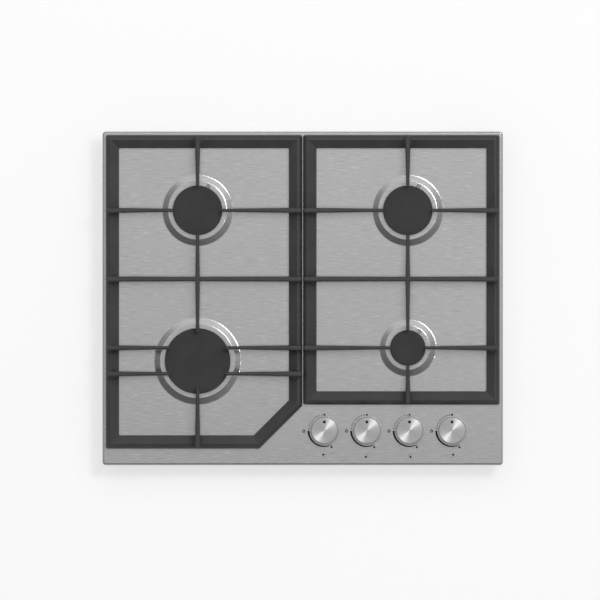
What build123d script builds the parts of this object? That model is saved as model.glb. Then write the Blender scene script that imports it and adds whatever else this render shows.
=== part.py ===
"""Four-burner gas cooktop, 600 x 500 mm, as separate pieces in one shared frame.

Millimetres. X runs to the right, Y to the back, Z up. The origin is under the middle of the
plate, at the underside of the burner box.
"""

from build123d import *
import os
from math import atan2, cos, degrees, radians, sin, sqrt, tan

os.makedirs("parts", exist_ok=True)

# --- Levels -----------------------------------------------------------------------------------
PLATE_TOP = 60.0            # the sheet's upper face
SHEET = 1.0                 # top plate sheet
BOX_SHEET = 0.8             # burner box sheet
EPS = 1.0                   # how far a cutting tool runs past what it cuts
THROUGH = 5.0               # half the length of a tool that pierces a wall
BEND_SHARE = 0.45           # of the shorter run beside a bend, for the bend's tangent

# --- Top plate --------------------------------------------------------------------------------
PLATE_W, PLATE_D = 600.0, 500.0
PLATE_CORNER_R = 5.0        # corners seen from above
EDGE_BEND_R = 3.0           # the rolled edge
SKIRT_H = 8.0               # how far the edge turns down
LIP_W = 9.0                 # return lip under the skirt
SEAL_H, SEAL_W = 2.0, 8.0   # rim seal on the worktop
BOSS_RISE = 3.0             # raised boss about each burner
BOSS_MARGIN = 7.0           # from the cap's edge to the top of the boss's slope
BOSS_SLOPE_W = 8.7          # width of that slope
BOSS_BEND_R = 4.0           # bends at the slope's top and foot
STUD_R, STUD_LEN, STUD_OUT = 2.0, 8.0, 4.3     # studs, this much outside the box's wall
NUT_FLATS, NUT_H = 7.0, 3.2
STUD_SHARE = 0.3            # of the plate's width or depth, from the middle to the outer studs
STUD_XS = (-STUD_SHARE * PLATE_W, 0.0, STUD_SHARE * PLATE_W)    # along the front and back flange
STUD_YS = (-STUD_SHARE * PLATE_D, 0.0, STUD_SHARE * PLATE_D)    # along the side flanges

# --- Burner box -------------------------------------------------------------------------------
RIM_X, RIM_Y = 23.5, 18.5   # plate's rim past the box, at each side and at front and back
BOX_W, BOX_D = PLATE_W - 2 * RIM_X, PLATE_D - 2 * RIM_Y     # fits a 560 x 480 worktop cut-out
BOX_CORNER_R = 6.0
FLANGE_W = 9.5
RECESS_W, RECESS_D = 50.5, 40.5     # back-right recess for the gas inlet

# --- Burners ----------------------------------------------------------------------------------
BURNER_X = 0.2625 * PLATE_W     # from the middle of the plate
BACK_Y, LEFT_Y, RIGHT_Y = 0.2638 * PLATE_D, -0.1876 * PLATE_D, -0.1482 * PLATE_D
# side of the hob, place, cap radius, throat radius, number of ports, direction of the supply
# arm, of the electrode and of the thermocouple (degrees), electrode's gap from the cap's edge
BURNERS = {
    "back_left": dict(side="left", x=-BURNER_X, y=BACK_Y, cap_r=37.0, throat_r=13.0, ports=30,
                      arm=0.0, spark=66.0, thermo=270.0, spark_out=2.5),
    "front_left": dict(side="left", x=-BURNER_X, y=LEFT_Y, cap_r=49.0, throat_r=16.0, ports=40,
                       arm=0.0, spark=90.0, thermo=270.0, spark_out=2.5),
    "front_right": dict(side="right", x=BURNER_X, y=RIGHT_Y, cap_r=26.5, throat_r=8.5, ports=22,
                        arm=270.0, spark=55.0, thermo=180.0, spark_out=4.0),
    "back_right": dict(side="right", x=BURNER_X, y=BACK_Y, cap_r=37.0, throat_r=13.0, ports=30,
                       arm=270.0, spark=66.0, thermo=180.0, spark_out=2.5),
}
HOLE_IN_CAP = 14.5          # plate's burner hole, this much inside the cap's edge
SPREADER_IN_CAP = 3.0       # spreader's wall, this much inside the cap's edge
SPREADER_WALL = 4.0
SPREADER_FOOT_H = 3.0       # hollow foot over the screw heads
SPREADER_BASE = 2.5         # thickness of its floor
SPREADER_RING_H = 6.5       # ported ring above the floor
PORT_W, PORT_H = 2.2, 4.0
THROAT_WALL = 2.0
CAP_H = 5.5
CAP_TOP_R, CAP_UNDER_R = 1.2, 0.5
CAP_SKIRT_H, CAP_SKIRT_W = 3.5, 2.0
LOOSE = 0.4                 # a piece that is lifted off by hand

# --- Burner cups ------------------------------------------------------------------------------
CUP_FLANGE_H = 2.5
CUP_FLANGE_OUT = 6.3        # flange, this much outside the cap's edge
BOWL_OUT, BOWL_WALL = 1.0, 2.5      # bowl's outside past the plate's hole, and its wall
BOWL_BOTTOM, BOWL_FLOOR = 28.0, 3.0
CORE_R, CORE_TOP = 8.0, 40.0        # injector boss
ARM_R, ARM_REACH = 6.0, 12.0
EAR_W, EAR_H, EAR_TOP = 8.0, 3.0, 49.0
SCREW_R, SCREW_HEAD_R, SCREW_HEAD_H = 1.7, 2.6, 1.8
SCREW_OUT = 3.2             # screw circle, this much outside the plate's hole
SCREW_ANGLES = (30.0, 150.0, 285.0)
SCREW_LEN = 8.0
HEX_SIDES = 6
INJECTOR_FLATS, INJECTOR_HEX_H, INJECTOR_THREAD_R, INJECTOR_THREAD_LEN = 8.0, 7.0, 3.0, 4.0
GAS_BORE_R = 2.0
JET_R = 0.6

# --- Electrodes and thermocouples -------------------------------------------------------------
CERAMIC_R, CERAMIC_BOTTOM, CERAMIC_TOP = 2.2, 42.0, 66.0
CERAMIC_COLLAR_R, COLLAR_H = 4.0, 3.0
SPARK_PIN_R, SPARK_PIN_TOP, SPARK_TIP_LEN = 0.8, 70.0, 3.6
THERMO_R, THERMO_BOTTOM, THERMO_TOP = 1.8, 44.0, 73.5
THERMO_NUT_FLATS = 7.0
THERMO_OUT = 1.0            # thermocouple, this much outside the cap's edge
PROBE_HOLE_CLEAR = 0.7      # about electrode and thermocouple in plate and flange
SNUG = 0.1                  # a piece held in a bracket or a hole

# --- Pan supports -----------------------------------------------------------------------------
SUPPORT_SIDE_GAP, SUPPORT_BACK_GAP, SUPPORT_FRONT_GAP = 4.9, 5.1, 25.1      # to the plate's edges
SUPPORT_NEAR = 84.9         # right support's front edge before the small burner's centre
SUPPORT_X_IN, SUPPORT_X_OUT = 0.8, PLATE_W / 2 - SUPPORT_SIDE_GAP
SUPPORT_BACK = PLATE_D / 2 - SUPPORT_BACK_GAP
LEFT_FRONT, RIGHT_FRONT = SUPPORT_FRONT_GAP - PLATE_D / 2, RIGHT_Y - SUPPORT_NEAR
LEFT_CUT = 64.2             # cut corner beside the knobs
FRAME_W = 19.8
FRAME_LIFT = 2.5            # frame's underside above the plate
FRAME_RIDGE = 16.0          # its ridge above the plate
FRAME_DROP = 5.0            # the slope from the ridge to the inner edge
RIDGE_IN = 7.4              # the ridge, this much inside the outer edge
ROLL_R = 7.0                # rounding of the outer edge
FRAME_CORNER_R, WINDOW_CORNER_R = 3.5, 2.0
FINGER_TOP = 40.0           # above the plate
FINGER_DEPTH = 11.5         # height of a finger over the pan's edge
FINGER_SET_IN = 0.4         # finger ends inside the frame's outer edge
ROOT_HALF, MID_HALF, TIP_HALF = 3.9, 3.3, 2.3
FINGER_ROUND = 2.2
FLARE_HALF, FLARE_RISE, FLARE_EDGE = 7.6, 2.0, 3.5      # where a finger rises from the frame
GUSSET_START, GUSSET_RUN, GUSSET_R = 3.0, 20.0, 14.0
BAR_Y = 0.058 * PLATE_D     # the full-width middle bar
TIP_REACH = {"back_left": (35.0, 35.0, 35.0), "back_right": (35.0, 35.0, 35.0),
             "front_left": (42.7, 39.0, 41.0), "front_right": (25.5, 25.5, 25.5)}
FINGER_BEYOND, FINGER_BEFORE = 19.8, 19.2       # the large burner has two on each side
FRONT_LEFT_FINGERS = (LEFT_Y + FINGER_BEYOND, LEFT_Y - FINGER_BEFORE)
FOOT_R, FOOT_PEG_R, FOOT_PEG_H = 5.0, 2.5, 4.0

# --- Knobs and valves -------------------------------------------------------------------------
KNOB_ORDER = ("back_left", "front_left", "front_right", "back_right")
KNOB_FROM_FRONT, KNOB_FROM_RIGHT, KNOB_PITCH = 52.0, 76.1, 63.8
KNOB_Y = KNOB_FROM_FRONT - PLATE_D / 2
KNOB_X0 = PLATE_W / 2 - KNOB_FROM_RIGHT - KNOB_PITCH * (len(KNOB_ORDER) - 1)
KNOB_R, KNOB_EDGE_R = 20.0, 1.5
KNOB_LIFT, KNOB_H = 4.8, 20.0
KNOB_SKIN, KNOB_TOP_SKIN = 2.5, 4.0
HUB_R, HUB_LIFT = 6.5, 2.0
DOT_R, DOT_AT, DOT_DEEP = 2.25, 12.8, 0.3
PRESS = 4.0
SPINDLE_R, SPINDLE_FLAT = 3.0, 2.0
SPINDLE_IN_KNOB = 13.0
SPINDLE_LOW = 35.0
TANG_W, TANG_H, SLOT_CLEAR = 2.5, 10.0, 0.3
RUNNING = 0.05
COLLAR_R, COLLAR_T = 6.0, 1.2
SPRING_OUT, SPRING_IN, SPRING_GAP = 5.6, 3.5, 0.3
PLUG_LOW, PLUG_HIGH, PLUG_R_LOW, PLUG_R_HIGH = 28.0, 38.0, 5.0, 6.0
PORT_Z = 33.0
BODY_W, BODY_D, BODY_TOP = 26.0, 22.0, 42.0
BONNET_R, BONNET_TOP, BONNET_ROOF, CHAMBER_R = 9.5, 50.0, 2.5, 7.5
STUB_DX, STUB_R, STUB_LEN = 5.5, 5.5, 11.0
MAGNET_DX, MAGNET_R, MAGNET_LEN = -7.0, 5.0, 15.0
SEAL_R, SEAL_LIP_R, SEAL_BORE_CLEAR, SEAL_LIP_T = 6.4, 8.2, 0.3, 1.3
SWITCH_W, SWITCH_D, SWITCH_H = 12.0, 8.0, 12.0

# --- Gas rail and tubes -----------------------------------------------------------------------
RAIL_Z, RAIL_R, RAIL_WALL, RAIL_BEND_R = 18.0, 8.0, 1.5, 24.0
RAIL_BEFORE_KNOB, RAIL_FROM_SIDE = 22.5, 14.5
RAIL_START_X, RAIL_SIDE_X = KNOB_X0 - RAIL_BEFORE_KNOB, BOX_W / 2 - RAIL_FROM_SIDE
RAIL_FOOT_W, RAIL_FOOT_T = 10.0, 14.0
INLET_HEX, INLET_HEX_LEN, INLET_R, INLET_LEN, INLET_SOCKET = 24.0, 18.0, 10.48, 14.0, 10.0
TUBE_R, TUBE_BORE_R, TUBE_BEND_R = 4.0, 3.0, 12.0
TUBE_SOCKET = 7.0
TUBE_NUT_FLATS, TUBE_NUT_LEN = 13.0, 8.0
CROSS_Z = 46.0              # where one tube passes over another
LEAD_R, LEAD_NUT_LEN, LEAD_NUT_FLATS = 1.25, 5.0, 8.0
THERMO_Z = 22.0             # level of the thermocouple leads
SPARK_LEAD_R, SPARK_Z = 1.5, 12.0
CROSS_NEAR, CROSS_FAR = 33.0, 57.0      # ramps of the tube that crosses, from the tube crossed
TUBE_DIAGONAL, TUBE_TURN, TUBE_JOG = 72.0, 50.0, 25.0
DROP_NEAR, DROP_FAR = 18.0, 42.0        # ramp of a lead that dives under a tube
LEAD_DIAGONAL, LEAD_SHORT, LEAD_STEP = 75.0, 24.0, 12.0
LEAD_BEND_R, SPARK_BEND_R = 12.0, 16.0
SPARK_TURN, SPARK_FALL = 50.0, 45.0     # long bends of the front burners' spark leads

# --- Electrical pieces ------------------------------------------------------------------------
MODULE_W, MODULE_D, MODULE_H, MODULE_FROM_BACK = 80.0, 46.0, 28.0, 39.5
MODULE_Y = BOX_D / 2 - MODULE_FROM_BACK
OUTLET_BACK, OUTLET_SIDE, OUTLET_FRONT = 18.0, 6.0, 26.0    # places of the module's outlets
CHAIN_IN, CHAIN_TURN = 14.0, 22.0       # where the switch lead turns to the back
OUTLET_R, OUTLET_LEN = 3.0, 5.0
MAINS_FROM_SIDE, MAINS_Z, MAINS_BORE_R = 61.5, 18.0, 4.0
MAINS_X = MAINS_FROM_SIDE - BOX_W / 2
GROMMET_R, GROMMET_LIP_R, GROMMET_LIP_T = 7.0, 9.5, 1.6
TERMINAL_W, TERMINAL_D, TERMINAL_H = 32.0, 15.0, 14.0
TERMINAL_PITCH, TERMINAL_BORE_R = 10.0, 1.6

# --- Worktop clamps ---------------------------------------------------------------------------
CLAMP_Y, CLAMP_W, CLAMP_T = STUD_YS[-1], 20.0, 2.0
CLAMP_LOW, CLAMP_HIGH, CLAMP_REACH, CLAMP_HOLE_R = 8.0, 40.0, 18.0, 2.25
CLAMP_HOLE_OUT, CLAMP_SCREW_Z, CLAMP_SCREW_R, CLAMP_HEAD_R, CLAMP_SCREW_LEN = 11.0, 30.0, 2.0, 3.8, 6.8

# --- Sizes that follow ------------------------------------------------------------------------
PLATE_UNDER = PLATE_TOP - SHEET
BOSS_TOP = PLATE_TOP + BOSS_RISE
LIP_LOW = PLATE_TOP - SKIRT_H
SPREADER_FLOOR = BOSS_TOP + SPREADER_FOOT_H
RING_LOW = SPREADER_FLOOR + SPREADER_BASE
CAP_LOW = RING_LOW + SPREADER_RING_H
FRAME_LOW = PLATE_TOP + FRAME_LIFT
FRAME_HIGH = PLATE_TOP + FRAME_RIDGE
FRAME_INNER = FRAME_HIGH - FRAME_DROP
FINGER_HIGH = PLATE_TOP + FINGER_TOP
KNOB_LOW = PLATE_TOP + KNOB_LIFT
KNOB_HIGH = KNOB_LOW + KNOB_H
HUB_LOW = KNOB_LOW + HUB_LIFT
BONNET_CEILING = BONNET_TOP - BONNET_ROOF
COLLAR_TOP = BONNET_CEILING - SLOT_CLEAR
CUP_FLANGE_TOP = BOSS_TOP - SHEET
MIN_Z = (Align.CENTER, Align.CENTER, Align.MIN)


# --- Small shapes -----------------------------------------------------------------------------
def rod(radius, low, high, x=0.0, y=0.0):
    """Upright cylinder between two levels."""
    return Pos(x, y, low) * Cylinder(radius, high - low, align=MIN_Z)


def ring(outer, inner, low, high, x=0.0, y=0.0):
    """Upright tube between two levels."""
    return rod(outer, low, high, x, y) - rod(inner, low - EPS, high + EPS, x, y)


def taper(low_r, high_r, low, high, x=0.0, y=0.0):
    """Upright cone frustum between two levels."""
    return Pos(x, y, low) * Cone(low_r, high_r, high - low, align=MIN_Z)


def block(x0, x1, y0, y1, z0, z1):
    """Cuboid between two corners."""
    middle = Pos((x0 + x1) / 2, (y0 + y1) / 2, (z0 + z1) / 2)
    return middle * Box(abs(x1 - x0), abs(y1 - y0), abs(z1 - z0))


def hexagon(flats, low, high, x=0.0, y=0.0):
    """Upright hexagonal prism, by its width across the flats."""
    outline = Pos(x, y, low) * RegularPolygon(flats / 2, HEX_SIDES, major_radius=False)
    return extrude(outline, amount=high - low)


def along(direction, start, shape):
    """A shape built up +Z from the origin, turned to run along a direction from a point."""
    return Plane(origin=start, z_dir=direction).location * shape


def polar(burner, radius, angle):
    """Point at a radius and an angle about a burner."""
    turn = radians(angle)
    return burner["x"] + radius * cos(turn), burner["y"] + radius * sin(turn)


def slab(width, depth, corner, low, high):
    """Rounded rectangle about the origin, between two levels."""
    return extrude(Pos(0, 0, low) * RectangleRounded(width, depth, corner), amount=high - low)


def path_of(points, bend):
    """Straight runs joined by tangent arcs of one bend radius, or a smaller one on short runs."""
    steps = [Vector(*b) - Vector(*a) for a, b in zip(points, points[1:])]
    radii = []
    for before, after in zip(steps, steps[1:]):
        half_turn = radians(before.get_angle(after)) / 2
        room = BEND_SHARE * min(before.length, after.length) / tan(half_turn)
        radii.append(min(bend, room))
    return FilletPolyline(*points, radius=radii)


def pipe(points, radius, bend):
    """Solid round bar along a path."""
    path = path_of(points, bend)
    section = Plane(origin=path @ 0, z_dir=path % 0) * Circle(radius)
    return sweep(section, path=path)


def inset(points, distance):
    """Corners of a counter-clockwise outline moved inward by a distance, mitred."""
    moved = []
    for before, here, after in zip(points[-1:] + points[:-1], points, points[1:] + points[:1]):
        arriving = (Vector(*here) - Vector(*before)).normalized()
        leaving = (Vector(*after) - Vector(*here)).normalized()
        one, two = Vector(-arriving.Y, arriving.X), Vector(-leaving.Y, leaving.X)
        shift = (one + two) * (distance / (1 + one.dot(two)))
        moved.append((here[0] + shift.X, here[1] + shift.Y))
    return moved


def prism(points, low, high):
    """Outline extruded between two levels."""
    return extrude(Pos(0, 0, low) * Polygon(*points, align=None), amount=high - low)


def save(name, *shapes):
    """Write one piece, or a group of like pieces, as a STEP file."""
    solids = [solid for shape in shapes for solid in shape.solids()]
    whole = solids[0] if len(solids) == 1 else Compound(children=solids)
    export_step(whole, f"parts/{name}.step")


# --- Places on each burner --------------------------------------------------------------------
def hole_r(burner):
    return burner["cap_r"] - HOLE_IN_CAP


def screw_points(burner):
    return [polar(burner, hole_r(burner) + SCREW_OUT, angle) for angle in SCREW_ANGLES]


def spark_point(burner):
    return polar(burner, burner["cap_r"] + burner["spark_out"], burner["spark"])


def thermo_point(burner):
    return polar(burner, burner["cap_r"] + THERMO_OUT, burner["thermo"])


def arm_end(burner):
    """Where the supply arm ends, and the way it points."""
    reach = hole_r(burner) + BOWL_OUT + ARM_REACH
    x, y = polar(burner, reach, burner["arm"])
    turn = radians(burner["arm"])
    return Vector(x, y, PORT_Z), Vector(cos(turn), sin(turn), 0)


def knob_x(index):
    return KNOB_X0 + KNOB_PITCH * index


# --- Top plate --------------------------------------------------------------------------------
def stud_points():
    """Studs round the box flange, front, back and sides."""
    edge_x, edge_y = BOX_W / 2 + STUD_OUT, BOX_D / 2 + STUD_OUT
    front_back = [(x, y) for x in STUD_XS for y in (-edge_y, edge_y)]
    return front_back + [(x, y) for y in STUD_YS for x in (-edge_x, edge_x)]


def boss_form(burner, level, floor):
    """What lies under a boss's face that rises from a level, down to a floor."""
    top_r = burner["cap_r"] + BOSS_MARGIN
    foot_r = top_r + BOSS_SLOPE_W
    rim_r = foot_r + BOSS_BEND_R
    top, foot = (top_r, level + BOSS_RISE), (foot_r, level)
    corners = [(0, floor), (rim_r, floor), (rim_r, level), foot, top, (0, level + BOSS_RISE)]
    section = Plane.XZ * Polygon(*corners, align=None)
    bends = [section.vertices().sort_by_distance((radius, 0, z))[0] for radius, z in (top, foot)]
    return Pos(burner["x"], burner["y"]) * revolve(fillet(bends, BOSS_BEND_R), Axis.Z)


def top_plate():
    skin = slab(PLATE_W, PLATE_D, PLATE_CORNER_R, LIP_LOW, PLATE_TOP)
    skin = fillet(skin.edges().group_by(Axis.Z)[-1], EDGE_BEND_R)
    wide, deep = PLATE_W - 2 * SHEET, PLATE_D - 2 * SHEET
    hollow = slab(wide, deep, PLATE_CORNER_R - SHEET, LIP_LOW + SHEET, PLATE_UNDER)
    hollow = fillet(hollow.edges().group_by(Axis.Z)[-1], EDGE_BEND_R - SHEET)
    mouth = slab(wide - 2 * LIP_W, deep - 2 * LIP_W, PLATE_CORNER_R, LIP_LOW - EPS, LIP_LOW + 2 * SHEET)
    plate = skin - hollow - mouth
    for burner in BURNERS.values():
        plate += boss_form(burner, PLATE_TOP, PLATE_UNDER)
        plate -= boss_form(burner, PLATE_UNDER, PLATE_UNDER - EPS)
        plate -= rod(hole_r(burner), PLATE_UNDER, BOSS_TOP + EPS, burner["x"], burner["y"])
        for point in screw_points(burner):
            plate -= rod(SCREW_R + SNUG, PLATE_UNDER, BOSS_TOP + EPS, *point)
        plate -= rod(CERAMIC_R + PROBE_HOLE_CLEAR, PLATE_UNDER - EPS, BOSS_TOP + EPS, *spark_point(burner))
        plate -= rod(THERMO_R + PROBE_HOLE_CLEAR, PLATE_UNDER - EPS, BOSS_TOP + EPS, *thermo_point(burner))
    for index in range(len(KNOB_ORDER)):
        plate -= rod(SEAL_R + RUNNING, PLATE_UNDER - EPS, PLATE_TOP + EPS, knob_x(index), KNOB_Y)
    for point in stud_points():
        plate += rod(STUD_R, PLATE_UNDER - STUD_LEN, PLATE_UNDER, *point)
    return plate


def rim_seal():
    wide, deep = PLATE_W - 2 * SHEET, PLATE_D - 2 * SHEET
    outer = slab(wide, deep, PLATE_CORNER_R - SHEET, LIP_LOW - SEAL_H, LIP_LOW)
    cut = slab(wide - 2 * SEAL_W, deep - 2 * SEAL_W, SHEET, LIP_LOW - SEAL_H - EPS, LIP_LOW + EPS)
    return outer - cut


# --- Burner box -------------------------------------------------------------------------------
def box_outline(out):
    """Plan of the box with its back-right recess, moved outward."""
    right, back = BOX_W / 2, BOX_D / 2
    corners = [(-right, -back), (right, -back), (right, back - RECESS_D),
               (right - RECESS_W, back - RECESS_D), (right - RECESS_W, back), (-right, back)]
    return inset(corners, -out)


def burner_box():
    tray = prism(box_outline(0), 0, PLATE_UNDER)
    tray = fillet(tray.edges().filter_by(Axis.Z), BOX_CORNER_R)
    inside = prism(box_outline(-BOX_SHEET), BOX_SHEET, PLATE_UNDER + EPS)
    inside = fillet(inside.edges().filter_by(Axis.Z), BOX_CORNER_R - BOX_SHEET)
    flange = prism(box_outline(FLANGE_W), PLATE_UNDER - BOX_SHEET, PLATE_UNDER)
    box = tray + flange - inside
    for point in stud_points():
        box -= rod(STUD_R + SNUG, 0, PLATE_UNDER + EPS, *point)
    for side in (-1, 1):
        for y in (-CLAMP_Y, CLAMP_Y):
            start = (side * (BOX_W / 2 - THROUGH), y, CLAMP_SCREW_Z)
            box -= along((side, 0, 0), start, rod(CLAMP_SCREW_R + SNUG, 0, 2 * THROUGH))
    back = BOX_D / 2
    rail_exit = (RAIL_SIDE_X, back - RECESS_D - THROUGH, RAIL_Z)
    box -= along((0, 1, 0), rail_exit, rod(RAIL_R + SNUG, 0, 2 * THROUGH))
    mains_exit = (MAINS_X, back - THROUGH, MAINS_Z)
    box -= along((0, 1, 0), mains_exit, rod(GROMMET_R + SNUG, 0, 2 * THROUGH))
    return box


# --- Burners ----------------------------------------------------------------------------------
def burner_cup(burner):
    """Cast cup: flange under the plate, bowl, injector boss, supply arm and two brackets."""
    x, y = burner["x"], burner["y"]
    bowl_r = hole_r(burner) + BOWL_OUT
    bowl_in = bowl_r - BOWL_WALL
    flange_low = CUP_FLANGE_TOP - CUP_FLANGE_H
    cup = rod(burner["cap_r"] + CUP_FLANGE_OUT, flange_low, CUP_FLANGE_TOP, x, y)
    cup += rod(bowl_r, BOWL_BOTTOM, CUP_FLANGE_TOP, x, y)
    for point, angle in ((spark_point(burner), burner["spark"]), (thermo_point(burner), burner["thermo"])):
        reach = sqrt((point[0] - x) ** 2 + (point[1] - y) ** 2)
        ear = block(bowl_in, reach, -EAR_W / 2, EAR_W / 2, EAR_TOP - EAR_H, EAR_TOP)
        cup += Pos(x, y) * Rot(0, 0, angle) * ear
        cup += rod(EAR_W / 2, EAR_TOP - EAR_H, EAR_TOP, *point)
    end, way = arm_end(burner)
    reach = (end - Vector(x, y, PORT_Z)).length
    centre = (x, y, PORT_Z)
    cup += along(way, centre, rod(ARM_R, 0, reach))
    cup -= rod(bowl_in, BOWL_BOTTOM + BOWL_FLOOR, CUP_FLANGE_TOP + EPS, x, y)
    cup += rod(CORE_R, BOWL_BOTTOM, CORE_TOP, x, y)
    channel = along(way, centre, rod(ARM_R, 0, bowl_in + EPS))
    cup += channel
    cup -= along(way, centre, rod(GAS_BORE_R, 0, reach + EPS))
    cup -= along(way, (end - way * TUBE_SOCKET), rod(TUBE_R + RUNNING, 0, TUBE_SOCKET + EPS))
    cup -= rod(GAS_BORE_R, PORT_Z, CORE_TOP + EPS, x, y)
    cup -= rod(INJECTOR_THREAD_R + RUNNING, CORE_TOP - INJECTOR_THREAD_LEN, CORE_TOP + EPS, x, y)
    for point in screw_points(burner):
        cup -= rod(SCREW_R + RUNNING, flange_low - THROUGH, CUP_FLANGE_TOP + EPS, *point)
    low = EAR_TOP - EAR_H - EPS
    cup -= rod(CERAMIC_R + SNUG, low, EAR_TOP + EPS, *spark_point(burner))
    cup -= rod(CERAMIC_R + PROBE_HOLE_CLEAR, flange_low - EPS, BOSS_TOP, *spark_point(burner))
    cup -= rod(THERMO_R + SNUG, low, EAR_TOP + EPS, *thermo_point(burner))
    cup -= rod(THERMO_R + PROBE_HOLE_CLEAR, flange_low - EPS, BOSS_TOP, *thermo_point(burner))
    return cup


def cup_screws(burner):
    solids = []
    for point in screw_points(burner):
        shank = rod(SCREW_R, BOSS_TOP - SCREW_LEN + SCREW_HEAD_H, BOSS_TOP, *point)
        head = rod(SCREW_HEAD_R, BOSS_TOP, BOSS_TOP + SCREW_HEAD_H, *point)
        head -= rod(JET_R * 2, BOSS_TOP + SCREW_HEAD_H / 2, BOSS_TOP + SCREW_HEAD_H + EPS, *point)
        solids.append(shank + head)
    return solids


def injector(burner):
    place = (burner["x"], burner["y"])
    top = CORE_TOP + INJECTOR_HEX_H
    jet = hexagon(INJECTOR_FLATS, CORE_TOP, top, *place)
    jet += rod(INJECTOR_THREAD_R, CORE_TOP - INJECTOR_THREAD_LEN, CORE_TOP, *place)
    jet -= rod(GAS_BORE_R, CORE_TOP - INJECTOR_THREAD_LEN - EPS, top - SHEET, *place)
    return jet - rod(JET_R, top - 2 * SHEET, top + EPS, *place)


def spark_electrode(burner):
    point = spark_point(burner)
    body = rod(CERAMIC_R, CERAMIC_BOTTOM, CERAMIC_TOP, *point)
    body += rod(CERAMIC_COLLAR_R, EAR_TOP, EAR_TOP + COLLAR_H, *point)
    tip = polar(burner, burner["cap_r"] + burner["spark_out"] - SPARK_TIP_LEN, burner["spark"])
    level = SPARK_PIN_TOP - SPARK_PIN_R
    pin = [(*point, CERAMIC_TOP - EPS), (*point, level), (*tip, level)]
    return body + pipe(pin, SPARK_PIN_R, 2 * SPARK_PIN_R)


def thermocouple(burner):
    point = thermo_point(burner)
    probe = rod(THERMO_R, THERMO_BOTTOM, THERMO_TOP, *point)
    probe = fillet(probe.edges().group_by(Axis.Z)[-1], THERMO_R - SNUG)
    return probe + hexagon(THERMO_NUT_FLATS, EAR_TOP, EAR_TOP + COLLAR_H, *point)


def flame_spreader(burner):
    """Ported ring on a hollow foot, with the mixing tube that hangs into the cup."""
    place = (burner["x"], burner["y"])
    outer = burner["cap_r"] - SPREADER_IN_CAP
    inner = outer - SPREADER_WALL
    throat = burner["throat_r"]
    body = ring(outer - THROAT_WALL / 2, inner, BOSS_TOP, SPREADER_FLOOR, *place)
    body += rod(outer, SPREADER_FLOOR, RING_LOW, *place)
    body += ring(outer, inner, RING_LOW, CAP_LOW, *place)
    body += rod(throat, CORE_TOP + INJECTOR_HEX_H + BOWL_FLOOR, RING_LOW, *place)
    body -= rod(throat - THROAT_WALL, CORE_TOP, CAP_LOW, *place)
    slot = block(inner - EPS, outer + EPS, -PORT_W / 2, PORT_W / 2, CAP_LOW - PORT_H, CAP_LOW + EPS)
    step = 360 / burner["ports"]
    return body - [Pos(*place) * Rot(0, 0, step * index) * slot for index in range(burner["ports"])]


def burner_cap(burner):
    place = (burner["x"], burner["y"])
    cap = rod(burner["cap_r"], CAP_LOW, CAP_LOW + CAP_H, *place)
    cap = fillet(cap.edges().group_by(Axis.Z)[-1], CAP_TOP_R)
    cap = fillet(cap.edges().group_by(Axis.Z)[0], CAP_UNDER_R)
    skirt = burner["cap_r"] - SPREADER_IN_CAP - SPREADER_WALL - LOOSE
    return cap + ring(skirt, skirt - CAP_SKIRT_W, CAP_LOW - CAP_SKIRT_H, CAP_LOW + EPS, *place)


# --- Pan supports -----------------------------------------------------------------------------
def frame_outline(side):
    """Plan of one frame, counter-clockwise."""
    if side == "left":
        return [(-SUPPORT_X_OUT, LEFT_FRONT), (-SUPPORT_X_IN - LEFT_CUT, LEFT_FRONT),
                (-SUPPORT_X_IN, LEFT_FRONT + LEFT_CUT), (-SUPPORT_X_IN, SUPPORT_BACK),
                (-SUPPORT_X_OUT, SUPPORT_BACK)]
    return [(SUPPORT_X_IN, RIGHT_FRONT), (SUPPORT_X_OUT, RIGHT_FRONT),
            (SUPPORT_X_OUT, SUPPORT_BACK), (SUPPORT_X_IN, SUPPORT_BACK)]


def frame_bars(side):
    """Mitred frame: rolled outer edge, a ridge, and a slope down to the window."""
    outline = frame_outline(side)
    sharp = prism(outline, FRAME_LOW, FRAME_HIGH)
    rounded = fillet(sharp.edges().filter_by(Axis.Z), FRAME_CORNER_R)
    body = rounded & fillet(sharp.edges().group_by(Axis.Z)[-1], ROLL_R)
    fall = (FRAME_W - RIDGE_IN) / FRAME_DROP
    over = Pos(0, 0, FRAME_HIGH + EPS) * Polygon(*inset(outline, RIDGE_IN - fall * EPS), align=None)
    under = Pos(0, 0, FRAME_INNER) * Polygon(*inset(outline, FRAME_W), align=None)
    window = prism(inset(outline, FRAME_W), FRAME_LOW - EPS, FRAME_HIGH)
    window = fillet(window.edges().filter_by(Axis.Z), WINDOW_CORNER_R)
    return body - loft([under, over], ruled=True) - window


def flare():
    """Where a finger rises from the frame, along +X from its outer end."""
    end_half = ROOT_HALF - SNUG
    discs = ((ROOT_HALF, end_half), (FRAME_W / 2, FLARE_HALF), (FRAME_W - ROOT_HALF, end_half))
    edges = [edge for x, radius in discs for edge in (Pos(x, 0) * Circle(radius)).edges()]
    low = FRAME_INNER - EPS
    root = extrude(Pos(0, 0, low) * make_hull(edges), amount=FRAME_HIGH + FLARE_RISE - low)
    return chamfer(root.edges().group_by(Axis.Z)[-1], FLARE_EDGE)


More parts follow.
